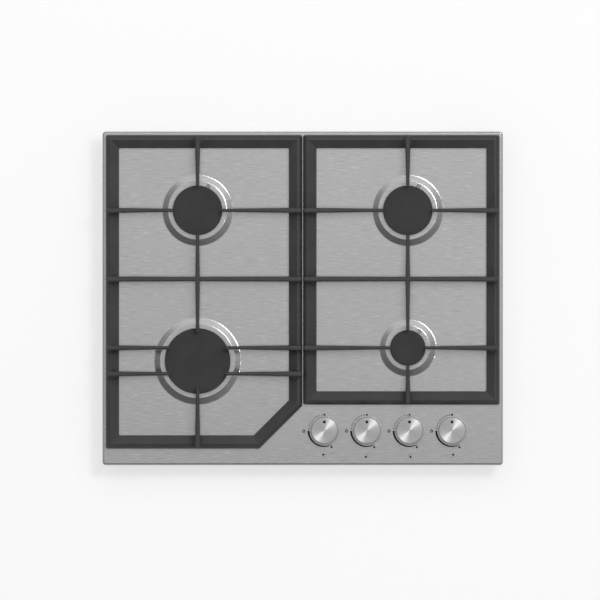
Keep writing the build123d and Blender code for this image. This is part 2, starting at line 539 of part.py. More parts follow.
def blade(length, root_half, tip_half, framed):
    """One finger along +X from its outer end, with a rounded top and a tapering plan."""
    low = (FRAME_LOW + FRAME_INNER) / 2
    plan = make_hull((Pos(root_half, 0) * Circle(root_half)).edges()
                     + (Pos(length - tip_half, 0) * Circle(tip_half)).edges())
    bar = extrude(Pos(0, 0, low) * plan, amount=FINGER_HIGH - low)
    bar = fillet(bar.edges().group_by(Axis.Z)[-1], FINGER_ROUND)
    under = FINGER_HIGH - FINGER_DEPTH
    if not framed:
        return bar - block(-EPS, length + EPS, -FRAME_W, FRAME_W, low - EPS, under)
    start = FRAME_W + GUSSET_START
    void = [(start, low - EPS), (start, FRAME_INNER), (start + GUSSET_RUN, under),
            (length + EPS, under), (length + EPS, low - EPS)]
    outline = Plane.XZ * Polygon(*void, align=None)
    tool = extrude(outline, amount=FRAME_W, both=True)
    corner = tool.edges().filter_by(Axis.Y).sort_by_distance((start + GUSSET_RUN, 0, under))[0]
    return bar - fillet(corner, GUSSET_R) + flare()


def finger(start, end, root_half=ROOT_HALF, tip_half=TIP_HALF, framed=True):
    """A blade between two plan points."""
    run = Vector(*end) - Vector(*start)
    turn = degrees(atan2(run.Y, run.X))
    return Pos(*start) * Rot(0, 0, turn) * blade(run.length, root_half, tip_half, framed)


def fingers(side):
    """Every finger of one pan support."""
    sign = -1 if side == "left" else 1
    outer, inner = sign * (SUPPORT_X_OUT - FINGER_SET_IN), sign * (SUPPORT_X_IN + FINGER_SET_IN)
    back, front = BURNERS[f"back_{side}"], BURNERS[f"front_{side}"]
    x = back["x"]
    up, down, across = TIP_REACH[f"back_{side}"]
    bars = [finger((x, SUPPORT_BACK - FINGER_SET_IN), (x, back["y"] + up))]
    bars += [finger((edge, back["y"]), (x + across * (1 if edge > x else -1), back["y"]))
             for edge in (outer, inner)]
    middle = (x, BAR_Y)
    bars += [finger((edge, BAR_Y), middle, tip_half=MID_HALF) for edge in (outer, inner)]
    overlap = MID_HALF
    bars.append(finger((x, BAR_Y - overlap), (x, back["y"] - down), MID_HALF, framed=False))
    up, down, across = TIP_REACH[f"front_{side}"]
    bars.append(finger((x, BAR_Y + overlap), (x, front["y"] + up), MID_HALF, framed=False))
    rows = FRONT_LEFT_FINGERS if side == "left" else (front["y"],)
    bars += [finger((edge, y), (x + across * (1 if edge > x else -1), y))
             for y in rows for edge in (outer, inner)]
    near = (LEFT_FRONT if side == "left" else RIGHT_FRONT) + FINGER_SET_IN
    bars.append(finger((x, near), (x, front["y"] - down)))
    return bars


def foot_points(side):
    return inset(frame_outline(side), FRAME_W / 2)


def pan_support(side):
    support = frame_bars(side) + fingers(side)
    for point in foot_points(side):
        support -= rod(FOOT_PEG_R + RUNNING, FRAME_LOW - EPS, FRAME_LOW + FOOT_PEG_H + SNUG, *point)
    return support


def support_foot(point):
    pad = rod(FOOT_R, PLATE_TOP, FRAME_LOW, *point)
    return pad + rod(FOOT_PEG_R, FRAME_LOW, FRAME_LOW + FOOT_PEG_H, *point)


# --- Valves, spindles and knobs ---------------------------------------------------------------
def plug_r(level):
    share = (level - PLUG_LOW) / (PLUG_HIGH - PLUG_LOW)
    return PLUG_R_LOW + share * (PLUG_R_HIGH - PLUG_R_LOW)


def valve_body(x):
    """Tap body that sits astride the rail, with its outlet and its magnet unit."""
    y = KNOB_Y
    body = block(x - BODY_W / 2, x + BODY_W / 2, y - BODY_D / 2, y + BODY_D / 2, RAIL_Z, BODY_TOP)
    body += rod(BONNET_R, BODY_TOP - EPS, BONNET_TOP, x, y)
    face = y + BODY_D / 2
    body += along((0, 1, 0), (x + STUB_DX, face - EPS, PORT_Z), rod(STUB_R, 0, STUB_LEN + EPS))
    body += along((0, 1, 0), (x + MAGNET_DX, face - EPS, PORT_Z), rod(MAGNET_R, 0, MAGNET_LEN + EPS))
    body -= along((1, 0, 0), (x - BODY_W, y, RAIL_Z), rod(RAIL_R, 0, 2 * BODY_W))
    body -= taper(PLUG_R_LOW + RUNNING, PLUG_R_HIGH + RUNNING, PLUG_LOW, PLUG_HIGH, x, y)
    body -= rod(CHAMBER_R, PLUG_HIGH, BONNET_CEILING, x, y)
    body -= rod(SPINDLE_R + RUNNING, BONNET_CEILING - EPS, BONNET_TOP + EPS, x, y)
    body -= rod(GAS_BORE_R, RAIL_Z, PLUG_LOW + EPS, x, y)
    body -= along((0, 1, 0), (x + STUB_DX, y, PORT_Z), rod(GAS_BORE_R - RUNNING, 0, BODY_D + STUB_LEN))
    socket = (x + STUB_DX, face + STUB_LEN - TUBE_SOCKET, PORT_Z)
    return body - along((0, 1, 0), socket, rod(TUBE_R + RUNNING, 0, TUBE_SOCKET + EPS))


def valve_plug(x):
    """Taper plug with its gas way and the slot that the spindle's tang turns."""
    plug = taper(PLUG_R_LOW, PLUG_R_HIGH, PLUG_LOW, PLUG_HIGH, x, KNOB_Y)
    slot_low = SPINDLE_LOW - PRESS - SLOT_CLEAR
    half = TANG_W / 2 + SLOT_CLEAR
    slot = block(-SPINDLE_R - SLOT_CLEAR, SPINDLE_R + SLOT_CLEAR, -half, half, slot_low, PLUG_HIGH + EPS)
    return plug - Pos(x, KNOB_Y) * slot - rod(JET_R, PLUG_LOW - EPS, slot_low + EPS, x, KNOB_Y)


def spindle(x):
    """Spindle: tang below, collar under the bonnet, flat for the knob on top."""
    top = HUB_LOW + SPINDLE_IN_KNOB
    pin = rod(SPINDLE_R, SPINDLE_LOW, top)
    pin += rod(COLLAR_R, COLLAR_TOP - COLLAR_T, COLLAR_TOP)
    for side in (-1, 1):
        cheek = block(-COLLAR_R, COLLAR_R, side * TANG_W / 2, side * COLLAR_R,
                      SPINDLE_LOW - EPS, SPINDLE_LOW + TANG_H)
        pin -= cheek
    pin -= block(-COLLAR_R, COLLAR_R, SPINDLE_FLAT, COLLAR_R, HUB_LOW, top + EPS)
    return Pos(x, KNOB_Y) * pin


def valve_spring(x):
    return ring(SPRING_OUT, SPRING_IN, PLUG_HIGH, COLLAR_TOP - COLLAR_T - SPRING_GAP, x, KNOB_Y)


def knob(x):
    """Round knob: hollow skirt, hub with a flatted bore, pointer dot towards the back."""
    body = rod(KNOB_R, KNOB_LOW, KNOB_HIGH)
    body = fillet(body.edges().group_by(Axis.Z)[-1], KNOB_EDGE_R)
    body -= rod(KNOB_R - KNOB_SKIN, KNOB_LOW - EPS, KNOB_HIGH - KNOB_TOP_SKIN)
    body += rod(HUB_R, HUB_LOW, KNOB_HIGH - KNOB_TOP_SKIN + EPS)
    bore = rod(SPINDLE_R + RUNNING, HUB_LOW - EPS, HUB_LOW + SPINDLE_IN_KNOB + SNUG)
    bore -= block(-COLLAR_R, COLLAR_R, SPINDLE_FLAT + RUNNING, COLLAR_R, HUB_LOW - 2 * EPS, KNOB_HIGH)
    body -= bore
    body -= rod(DOT_R, KNOB_HIGH - DOT_DEEP, KNOB_HIGH + EPS, 0, DOT_AT)
    return Pos(x, KNOB_Y) * body


def knob_seal(x):
    """Rubber bush with a groove that grips the plate round the spindle."""
    place = (x, KNOB_Y)
    bore = SPINDLE_R + SEAL_BORE_CLEAR
    low, high = PLATE_UNDER - SEAL_LIP_T, PLATE_TOP + SEAL_LIP_T
    seal = ring(SEAL_R, bore, low, high, *place)
    seal += ring(SEAL_LIP_R, bore, low, PLATE_UNDER, *place)
    seal += ring(SEAL_LIP_R, bore, PLATE_TOP, high, *place)
    return seal


def ignition_switch(x):
    y = KNOB_Y - BODY_D / 2
    return block(x - SWITCH_W / 2, x + SWITCH_W / 2, y - SWITCH_D, y, BODY_TOP - SWITCH_H, BODY_TOP)


# --- Gas ways ---------------------------------------------------------------------------------
def gas_rail():
    exit_y = BOX_D / 2 - RECESS_D + INLET_SOCKET
    points = [(RAIL_START_X, KNOB_Y, RAIL_Z), (RAIL_SIDE_X, KNOB_Y, RAIL_Z), (RAIL_SIDE_X, exit_y, RAIL_Z)]
    rail = pipe(points, RAIL_R, RAIL_BEND_R)
    seats = [(knob_x(index) + KNOB_PITCH / 2, KNOB_Y) for index in range(len(KNOB_ORDER) - 1)]
    seats += [(RAIL_SIDE_X, y) for y in (0.0, STUD_YS[-1])]
    for x, y in seats:
        wide, deep = (RAIL_FOOT_T, RAIL_FOOT_W) if y == KNOB_Y else (RAIL_FOOT_W, RAIL_FOOT_T)
        rail += block(x - wide / 2, x + wide / 2, y - deep / 2, y + deep / 2, BOX_SHEET, RAIL_Z)
    inner = [(RAIL_START_X + RAIL_WALL, KNOB_Y, RAIL_Z), *points[1:-1], (RAIL_SIDE_X, exit_y + EPS, RAIL_Z)]
    rail -= pipe(inner, RAIL_R - RAIL_WALL, RAIL_BEND_R)
    for index in range(len(KNOB_ORDER)):
        rail -= rod(GAS_BORE_R, RAIL_Z, RAIL_Z + RAIL_R + EPS, knob_x(index), KNOB_Y)
    return rail


def gas_inlet_fitting():
    """Hexagon against the recess wall, and a male G1/2 end that points to the back."""
    fitting = hexagon(INLET_HEX, 0, INLET_HEX_LEN) + rod(INLET_R, INLET_HEX_LEN, INLET_HEX_LEN + INLET_LEN)
    fitting -= rod(RAIL_R - RAIL_WALL, -EPS, INLET_HEX_LEN + INLET_LEN + EPS)
    fitting -= rod(RAIL_R + RUNNING, -EPS, INLET_SOCKET)
    return along((0, 1, 0), (RAIL_SIDE_X, BOX_D / 2 - RECESS_D, RAIL_Z), fitting)


def tube_route(name):
    """Points of a supply tube from its valve's outlet to its burner's arm."""
    burner = BURNERS[name]
    x = knob_x(KNOB_ORDER.index(name)) + STUB_DX
    y = KNOB_Y + BODY_D / 2 + STUB_LEN - TUBE_SOCKET + EPS
    end, way = arm_end(burner)
    stop = end - way * (TUBE_SOCKET - EPS)
    start = (x, y, PORT_Z)
    last = (stop.X, stop.Y, PORT_Z)
    bx, by = burner["x"], burner["y"]
    crossed = BURNERS["front_left"]["y"]
    jog = end.Y - TUBE_JOG
    middle = {
        "back_left": [(x, crossed - CROSS_FAR, PORT_Z), (x, crossed - CROSS_NEAR, CROSS_Z),
                      (x, crossed + CROSS_NEAR, CROSS_Z), (x, crossed + CROSS_FAR, PORT_Z),
                      (x, by - TUBE_DIAGONAL, PORT_Z), (x - TUBE_DIAGONAL, by, PORT_Z)],
        "front_left": [(x, by - TUBE_TURN, PORT_Z), (x - TUBE_TURN, by, PORT_Z)],
        "front_right": [(x, jog - TUBE_JOG, PORT_Z), (bx, jog, PORT_Z)],
        "back_right": [(x, jog - (x - bx), PORT_Z), (bx, jog, PORT_Z)],
    }[name]
    return [start, *middle, last]


def supply_tube(name):
    """Tube with its bore, and the two nuts that grip it."""
    points = tube_route(name)
    tube = pipe(points, TUBE_R, TUBE_BEND_R)
    bore = [Vector(*point) for point in points]
    bore[0] -= (bore[1] - bore[0]).normalized() * EPS
    bore[-1] += (bore[-1] - bore[-2]).normalized() * EPS
    tube -= pipe([tuple(point) for point in bore], TUBE_BORE_R, TUBE_BEND_R)
    nut = hexagon(TUBE_NUT_FLATS, 0, TUBE_NUT_LEN) - rod(TUBE_R + RUNNING, -EPS, TUBE_NUT_LEN + EPS)
    stub_face = (points[0][0], KNOB_Y + BODY_D / 2 + STUB_LEN, PORT_Z)
    end, way = arm_end(BURNERS[name])
    return [tube, along((0, 1, 0), stub_face, nut), along(way, end, nut)]


# --- Leads ------------------------------------------------------------------------------------
def thermocouple_lead(name):
    """From the valve's magnet unit, down to its own level, to the thermocouple's lower end."""
    burner = BURNERS[name]
    x = knob_x(KNOB_ORDER.index(name)) + MAGNET_DX
    y = KNOB_Y + BODY_D / 2 + MAGNET_LEN
    px, py = thermo_point(burner)
    low, end = THERMO_Z, (px, py, THERMO_BOTTOM)
    crossed = BURNERS["front_left"]["y"]
    ramp = [(x, y + LEAD_SHORT, PORT_Z), (x, y + 2 * LEAD_SHORT, low)]
    middle = {
        "back_left": [(x, crossed - DROP_FAR, PORT_Z), (x, crossed - DROP_NEAR, low),
                      (x, py - LEAD_DIAGONAL, low), (x - LEAD_DIAGONAL, py, low)],
        "front_left": [(x, y + LEAD_STEP, PORT_Z), (x - LEAD_STEP, y + LEAD_SHORT, low),
                       (x - 2 * LEAD_SHORT, py, low)],
        "front_right": [*ramp, (px + LEAD_STEP, py, low)],
        "back_right": [*ramp, (x, py - 2 * LEAD_DIAGONAL, low), (px + LEAD_SHORT, py - LEAD_SHORT, low),
                       (px + LEAD_STEP, py, low)],
    }[name]
    run = pipe([(x, y, PORT_Z), *middle, (px, py, low), end], LEAD_R, LEAD_BEND_R)
    return run + along((0, 1, 0), (x, y, PORT_Z), hexagon(LEAD_NUT_FLATS, 0, LEAD_NUT_LEN))


def module_outlets():
    """Where the leads leave the ignition module: point and direction."""
    half, front = MODULE_W / 2, MODULE_Y - MODULE_D / 2
    return {
        "back_left": (Vector(-half, MODULE_Y + OUTLET_SIDE, SPARK_Z), Vector(-1, 0, 0)),
        "back_right": (Vector(half, MODULE_Y + OUTLET_SIDE, SPARK_Z), Vector(1, 0, 0)),
        "front_left": (Vector(-OUTLET_FRONT, front, SPARK_Z), Vector(0, -1, 0)),
        "front_right": (Vector(OUTLET_FRONT, front, SPARK_Z), Vector(0, -1, 0)),
        "switches": (Vector(0, front, SPARK_Z), Vector(0, -1, 0)),
        "mains": (Vector(-half, MODULE_Y + OUTLET_BACK, SPARK_Z), Vector(-1, 0, 0)),
    }


def ignition_module():
    y0, y1 = MODULE_Y - MODULE_D / 2, MODULE_Y + MODULE_D / 2
    case = block(-MODULE_W / 2, MODULE_W / 2, y0, y1, BOX_SHEET, BOX_SHEET + MODULE_H)
    case = fillet(case.edges().filter_by(Axis.Z), OUTLET_R)
    for start, way in module_outlets().values():
        case += along(way, (start - way * EPS), rod(OUTLET_R, 0, OUTLET_LEN + EPS))
    return case


def spark_lead(name):
    burner = BURNERS[name]
    px, py = spark_point(burner)
    start, way = module_outlets()[name]
    start = start + way * OUTLET_LEN
    sign = -1 if burner["side"] == "left" else 1
    middle = {
        "back": [(px, start.Y, SPARK_Z)],
        "front": [(start.X, start.Y - SPARK_TURN, SPARK_Z),
                  (px - sign * SPARK_BEND_R, py + SPARK_TURN + SPARK_FALL, SPARK_Z),
                  (px, py + SPARK_TURN, SPARK_Z)],
    }[name.split("_")[0]]
    points = [tuple(start), *middle, (px, py, SPARK_Z), (px, py, CERAMIC_BOTTOM)]
    return pipe(points, SPARK_LEAD_R, SPARK_BEND_R)


def control_leads():
    """One lead along the switches to the module, and one from the terminal block."""
    start, way = module_outlets()["switches"]
    start = start + way * OUTLET_LEN
    y = KNOB_Y - BODY_D / 2 - SWITCH_D - LEAD_R
    level = BODY_TOP - SWITCH_H / 2
    right = knob_x(len(KNOB_ORDER) - 1) + SWITCH_W / 2
    chain = [(right, y, level), (0, y, level), (-CHAIN_IN, y + CHAIN_TURN, SPARK_Z),
             (-CHAIN_IN, 0, SPARK_Z), (0, start.Y - SPARK_TURN, SPARK_Z), tuple(start)]
    mains, outward = module_outlets()["mains"]
    mains = mains + outward * OUTLET_LEN
    feed = [(MAINS_X + TERMINAL_W / 2, mains.Y, SPARK_Z), tuple(mains)]
    run = rod(LEAD_R, 0, feed[1][0] - feed[0][0])
    return [pipe(chain, LEAD_R, LEAD_BEND_R), along((1, 0, 0), feed[0], run)]


def terminal_block():
    """Three-way block on the box floor behind the supply hole."""
    y1 = BOX_D / 2 - BOX_SHEET - GROMMET_LIP_T - LIP_W
    y0 = y1 - TERMINAL_D
    half, top = TERMINAL_W / 2, BOX_SHEET + TERMINAL_H
    body = block(MAINS_X - half, MAINS_X + half, y0, y1, BOX_SHEET, top)
    for way in (-1, 0, 1):
        x = MAINS_X + way * TERMINAL_PITCH
        body -= rod(TERMINAL_BORE_R, TERMINAL_H / 2, top + EPS, x, (y0 + y1) / 2)
        mouth = (x, y1 + EPS, BOX_SHEET + TERMINAL_H / 4)
        body -= along((0, -1, 0), mouth, rod(TERMINAL_BORE_R, 0, TERMINAL_D / 2))
    return body


def cable_grommet():
    """Rubber bush in the back wall for the supply lead."""
    bush = ring(GROMMET_R, MAINS_BORE_R, 0, BOX_SHEET + 2 * GROMMET_LIP_T)
    bush += ring(GROMMET_LIP_R, MAINS_BORE_R, 0, GROMMET_LIP_T)
    bush += ring(GROMMET_LIP_R, MAINS_BORE_R, GROMMET_LIP_T + BOX_SHEET, BOX_SHEET + 2 * GROMMET_LIP_T)
    return along((0, 1, 0), (MAINS_X, BOX_D / 2 - BOX_SHEET - GROMMET_LIP_T, MAINS_Z), bush)


# --- Worktop clamps ---------------------------------------------------------------------------
def clamp_bracket(side, y):
    """Angle on the box's side, whose tongue draws the hob down on the worktop."""
    wall = BOX_W / 2
    upright = block(wall, wall + CLAMP_T, -CLAMP_W / 2, CLAMP_W / 2, CLAMP_LOW, CLAMP_HIGH)
    tongue = block(wall, wall + CLAMP_REACH, -CLAMP_W / 2, CLAMP_W / 2, CLAMP_LOW, CLAMP_LOW + CLAMP_T)
    bracket = upright + tongue
    bracket -= rod(CLAMP_HOLE_R, CLAMP_LOW - EPS, CLAMP_LOW + CLAMP_T + EPS, wall + CLAMP_HOLE_OUT, 0)
    bracket -= along((1, 0, 0), (wall - EPS, 0, CLAMP_SCREW_Z), rod(CLAMP_SCREW_R + SNUG, 0, THROUGH))
    return Pos(0, y) * (bracket if side > 0 else Rot(0, 0, 180) * bracket)


def bracket_screw(side, y):
    start = (side * (BOX_W / 2 + CLAMP_T), y, CLAMP_SCREW_Z)
    head = along((side, 0, 0), start, rod(CLAMP_HEAD_R, 0, CLAMP_SCREW_R))
    return head + along((-side, 0, 0), start, rod(CLAMP_SCREW_R, 0, CLAMP_SCREW_LEN))


def flange_nut(point):
    top = PLATE_UNDER - BOX_SHEET
    low = top - NUT_H
    return hexagon(NUT_FLATS, low, top, *point) - rod(STUD_R + RUNNING, low - EPS, top + EPS, *point)


# --- Write every piece ------------------------------------------------------------------------
save("top_plate", top_plate())
save("rim_seal", rim_seal())
save("burner_box", burner_box())
save("box_nuts", *[flange_nut(point) for point in stud_points()])
CLAMPS = [(side, y) for side in (-1, 1) for y in (-CLAMP_Y, CLAMP_Y)]
save("clamp_brackets", *[clamp_bracket(*place) for place in CLAMPS])
save("bracket_screws", *[bracket_screw(*place) for place in CLAMPS])
save("gas_rail", gas_rail())
save("gas_inlet_fitting", gas_inlet_fitting())
save("ignition_module", ignition_module())
save("terminal_block", terminal_block())
save("cable_grommet", cable_grommet())
save("control_leads", *control_leads())
save("injectors", *[injector(burner) for burner in BURNERS.values()])
save("cup_screws", *[screw for burner in BURNERS.values() for screw in cup_screws(burner)])
save("spark_electrodes", *[spark_electrode(burner) for burner in BURNERS.values()])
save("thermocouples", *[thermocouple(burner) for burner in BURNERS.values()])
save("spark_leads", *[spark_lead(name) for name in BURNERS])
save("thermocouple_leads", *[thermocouple_lead(name) for name in BURNERS])
save("knob_seals", *[knob_seal(knob_x(index)) for index in range(len(KNOB_ORDER))])
save("ignition_switches", *[ignition_switch(knob_x(index)) for index in range(len(KNOB_ORDER))])
for name, burner in BURNERS.items():
    save(f"burner_cup_{name}", burner_cup(burner))
    save(f"flame_spreader_{name}", flame_spreader(burner))
    save(f"burner_cap_{name}", burner_cap(burner))
    save(f"supply_tube_{name}", *supply_tube(name))
for index, name in enumerate(KNOB_ORDER):
    save(f"valve_body_{name}", valve_body(knob_x(index)))
    save(f"valve_plug_{name}", valve_plug(knob_x(index)))
    save(f"valve_spring_{name}", valve_spring(knob_x(index)))
    save(f"spindle_{name}", spindle(knob_x(index)))
    save(f"knob_{name}", knob(knob_x(index)))
for side in ("left", "right"):
    save(f"pan_support_{side}", pan_support(side))
    save(f"support_feet_{side}", *[support_foot(point) for point in foot_points(side)])
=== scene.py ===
"""Looks of a four-burner gas cooktop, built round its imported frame.

Metres. X runs to the right, Y to the back and Z up, as in the frame. Every piece made here has
its place in its mesh and rides on one body of the frame.
"""

from __future__ import annotations

import logging
import math

from collections.abc import Callable, Iterable, Sequence
from dataclasses import astuple, dataclass
from enum import Enum
from typing import ClassVar

import bmesh
import bpy
from mathutils import Matrix, Vector


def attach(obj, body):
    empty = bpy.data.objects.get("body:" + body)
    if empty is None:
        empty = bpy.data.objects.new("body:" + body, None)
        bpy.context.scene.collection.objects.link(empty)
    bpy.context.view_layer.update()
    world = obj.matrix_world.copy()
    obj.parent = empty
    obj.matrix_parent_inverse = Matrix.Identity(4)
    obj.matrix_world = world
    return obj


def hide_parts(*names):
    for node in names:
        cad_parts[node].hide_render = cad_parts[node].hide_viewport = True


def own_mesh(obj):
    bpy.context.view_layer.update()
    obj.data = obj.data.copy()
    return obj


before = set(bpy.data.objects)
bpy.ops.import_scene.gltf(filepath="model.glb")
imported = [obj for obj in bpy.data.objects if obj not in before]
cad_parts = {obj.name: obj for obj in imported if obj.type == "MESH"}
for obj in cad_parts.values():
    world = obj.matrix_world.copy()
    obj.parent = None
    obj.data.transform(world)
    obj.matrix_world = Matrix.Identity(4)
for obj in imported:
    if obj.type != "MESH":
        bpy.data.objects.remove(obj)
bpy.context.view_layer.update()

MM = 0.001
HOB = "hob_base"
KNOB_FIRST_X, KNOB_PITCH, KNOB_ROW_Y = 32.5 * MM, 63.8 * MM, -198.0 * MM
LOG = logging.getLogger("cooktop")

Place = tuple[float, float, float]
Colour = tuple[float, float, float]
Point = tuple[float, float]
Node = bpy.types.Node
Socket = bpy.types.NodeSocket
Mesh = bpy.types.Mesh
BMesh = bmesh.types.BMesh


class Corner(Enum):
    """Where a burner stands, in the order of the knobs; the values end its nodes' names."""

    BACK_LEFT = "back_left"
    FRONT_LEFT = "front_left"
    FRONT_RIGHT = "front_right"
    BACK_RIGHT = "back_right"


class Side(Enum):
    """The two pan supports."""

    LEFT = "left"
    RIGHT = "right"


# --- Node trees -------------------------------------------------------------------------------
def operator(operation: str, swapped: bool = False) -> Callable[[Value, object], Value]:
    """A Python operator that adds a Math node.

    Args:
        operation: Blender's name of the operation.
        swapped: Whether the other operand comes first.

    Returns:
        The operator's method.
    """

    def method(self: Value, other: object) -> Value:
        """One Math node of this value and another, or a number."""
        first, second = (other, self) if swapped else (self, other)
        return self.tree.value("ShaderNodeMath", {"operation": operation}, {0: first, 1: second})

    return method


class Value:
    """A number in a shader tree. Arithmetic on it adds Math nodes."""

    __add__ = __radd__ = operator("ADD")
    __mul__ = __rmul__ = operator("MULTIPLY")
    __sub__, __rsub__ = operator("SUBTRACT"), operator("SUBTRACT", swapped=True)
    __truediv__, __rtruediv__ = operator("DIVIDE"), operator("DIVIDE", swapped=True)

    def __init__(self, tree: ShaderTree, socket: Socket) -> None:
        """Wrap one output socket of a tree."""
        self.tree = tree
        self.socket = socket

    def wrapped(self, span: float) -> Value:
        """This value brought into the span -span/2 to span/2, which repeats it."""
        inputs = {0: self, 1: span / 2, 2: -span / 2}
        return self.tree.value("ShaderNodeMath", {"operation": "WRAP"}, inputs)

    def step(self, low: float, high: float) -> Value:
        """A smooth step, from 0 at the low end to 1 at the high end."""
        inputs = {0: self, 1: low, 2: high, 3: 0.0, 4: 1.0}
        return self.tree.value("ShaderNodeMapRange", {"interpolation_type": "SMOOTHSTEP"}, inputs)


class NodeTree:
    """The nodes and links of any tree."""

    def __init__(self, tree: bpy.types.NodeTree) -> None:
        """Take hold of a tree."""
        self.nodes = tree.nodes
        self.links = tree.links

    def node(self, kind: str, settings: dict | None = None, inputs: dict | None = None) -> Node:
        """Any node.

        Args:
            kind: The node's type.
            settings: Its properties, which are set first.
            inputs: Values or links of its sockets, by name or number.

        Returns:
            The new node.
        """
        made = self.nodes.new(kind)
        for key, value in (settings or {}).items():
            setattr(made, key, value)
        for key, value in (inputs or {}).items():
            self.feed(made.inputs[key], value)
        return made

    def feed(self, socket: Socket, value: object) -> None:
        """Set a socket, or link something to it.

        Args:
            socket: The socket.
            value: A Value or an output to link, or what the socket holds.
        """
        if isinstance(value, Value):
            value = value.socket
        if isinstance(value, Socket):
            self.links.new(value, socket)
        elif socket.type == "RGBA" and len(value) == 3:
            socket.default_value = (*value, 1.0)
        else:
            socket.default_value = value


class ShaderTree(NodeTree):
    """The nodes of one material or of the world."""

    def __init__(self, owner: bpy.types.Material | bpy.types.World) -> None:
        """Empty the owner's tree.

        Args:
            owner: A material or the world.
        """
        owner.use_nodes = True
        super().__init__(owner.node_tree)
        self.nodes.clear()
        self.places = self.node("ShaderNodeTexCoord").outputs

    def value(self, kind: str, settings: dict, inputs: dict, output: int | str = 0) -> Value:
        """One output of a new node, as a number."""
        return Value(self, self.node(kind, settings, inputs).outputs[output])

    def place(self, scale: Place = (1, 1, 1), turn: Place = (0, 0, 0)) -> Socket:
        """Object coordinates, scaled by axis and turned by radians about each axis."""
        inputs = {"Vector": self.places["Object"], "Scale": scale, "Rotation": turn}
        return self.node("ShaderNodeMapping", {}, inputs).outputs[0]

    def axis(self, index: int, kind: str = "Object") -> Value:
        """One coordinate of a kind, in metres for the object's own."""
        return self.value("ShaderNodeSeparateXYZ", {}, {0: self.places[kind]}, index)

    def vector(self, x: object, y: object, z: object = 0.0) -> Socket:
        """A vector from three numbers."""
        return self.node("ShaderNodeCombineXYZ", {}, {0: x, 1: y, 2: z}).outputs[0]

    def length(self, vector: Socket) -> Value:
        """A vector's length."""
        return self.value("ShaderNodeVectorMath", {"operation": "LENGTH"}, {0: vector}, "Value")

    def noise(
        self, scale: float | Place, detail: float = 2.0, rough: float = 0.5,
        where: Socket | None = None, output: str | int = 0,
    ) -> Value:
        """Smooth noise from about 0.2 to 0.8.

        Args:
            scale: Its scale per metre, for all axes or for each.
            detail: Octaves.
            rough: How strong the finer octaves are.
            where: Where it is read, if not at the object coordinates.
            output: The output that is wanted.

        Returns:
            That output.
        """
        if isinstance(scale, tuple):
            where, scale = self.place(scale), 1.0
        if where is None:
            where = self.places["Object"]
        inputs = {"Vector": where, "Scale": scale, "Detail": detail, "Roughness": rough}
        return self.value("ShaderNodeTexNoise", {}, inputs, output)

    def cells(self, scale: float, where: Socket | None = None) -> tuple[Value, Value]:
        """Random cells.

        Args:
            scale: Their scale per metre.
            where: Where they are read, if not at the object coordinates.

        Returns:
            The distance from a cell's point, and a random number for each cell.
        """
        if where is None:
            where = self.places["Object"]
        made = self.node("ShaderNodeTexVoronoi", {}, {"Vector": where, "Scale": scale}).outputs
        return Value(self, made["Distance"]), self.value("ShaderNodeSeparateColor", {}, {0: made["Color"]})

    def blend(self, share: Value, low: object, high: object) -> Socket:
        """A colour between two others, at a share from 0 to 1."""
        settings = {"data_type": "RGBA", "clamp_factor": True}
        return self.node("ShaderNodeMix", settings, {0: share, 6: low, 7: high}).outputs[2]

    def ramp(self, share: Value, stops: Sequence[tuple[float, Colour]]) -> Socket:
        """A colour from a ramp.

        Args:
            share: Where on the ramp.
            stops: The place and the colour of every stop.

        Returns:
            The colour.
        """
        made = self.node("ShaderNodeValToRGB", {}, {0: share})
        elements = made.color_ramp.elements
        while len(elements) < len(stops):
            elements.new(1.0)
        for element, (place, colour) in zip(elements, stops):
            element.position = place
            element.color = (*colour, 1.0)
        return made.outputs[0]

    def bump(self, height: Value, depth: float, strength: float = 1.0) -> Socket:
        """A normal from a height of 0 to 1, its depth in metres, and how much of it counts."""
        inputs = {"Height": height, "Distance": depth, "Strength": strength}
        return self.node("ShaderNodeBump", {}, inputs).outputs[0]

    def seen(self) -> Value:
        """What is seen directly, in a mirror or through glass.

        Returns:
            1 for such a ray, and otherwise 0.
        """
        kinds = ("Is Camera Ray", "Is Glossy Ray", "Is Transmission Ray")
        path = self.node("ShaderNodeLightPath").outputs
        direct, mirrored, through = (Value(self, path[kind]) for kind in kinds)
        return (direct + mirrored + through).step(0.0, 1.0)

    def surface(self, sockets: dict[str, object]) -> None:
        """End the tree in a surface shader with these sockets."""
        shader = self.node("ShaderNodeBsdfPrincipled", {}, sockets)
        self.node("ShaderNodeOutputMaterial", {}, {"Surface": shader.outputs[0]})


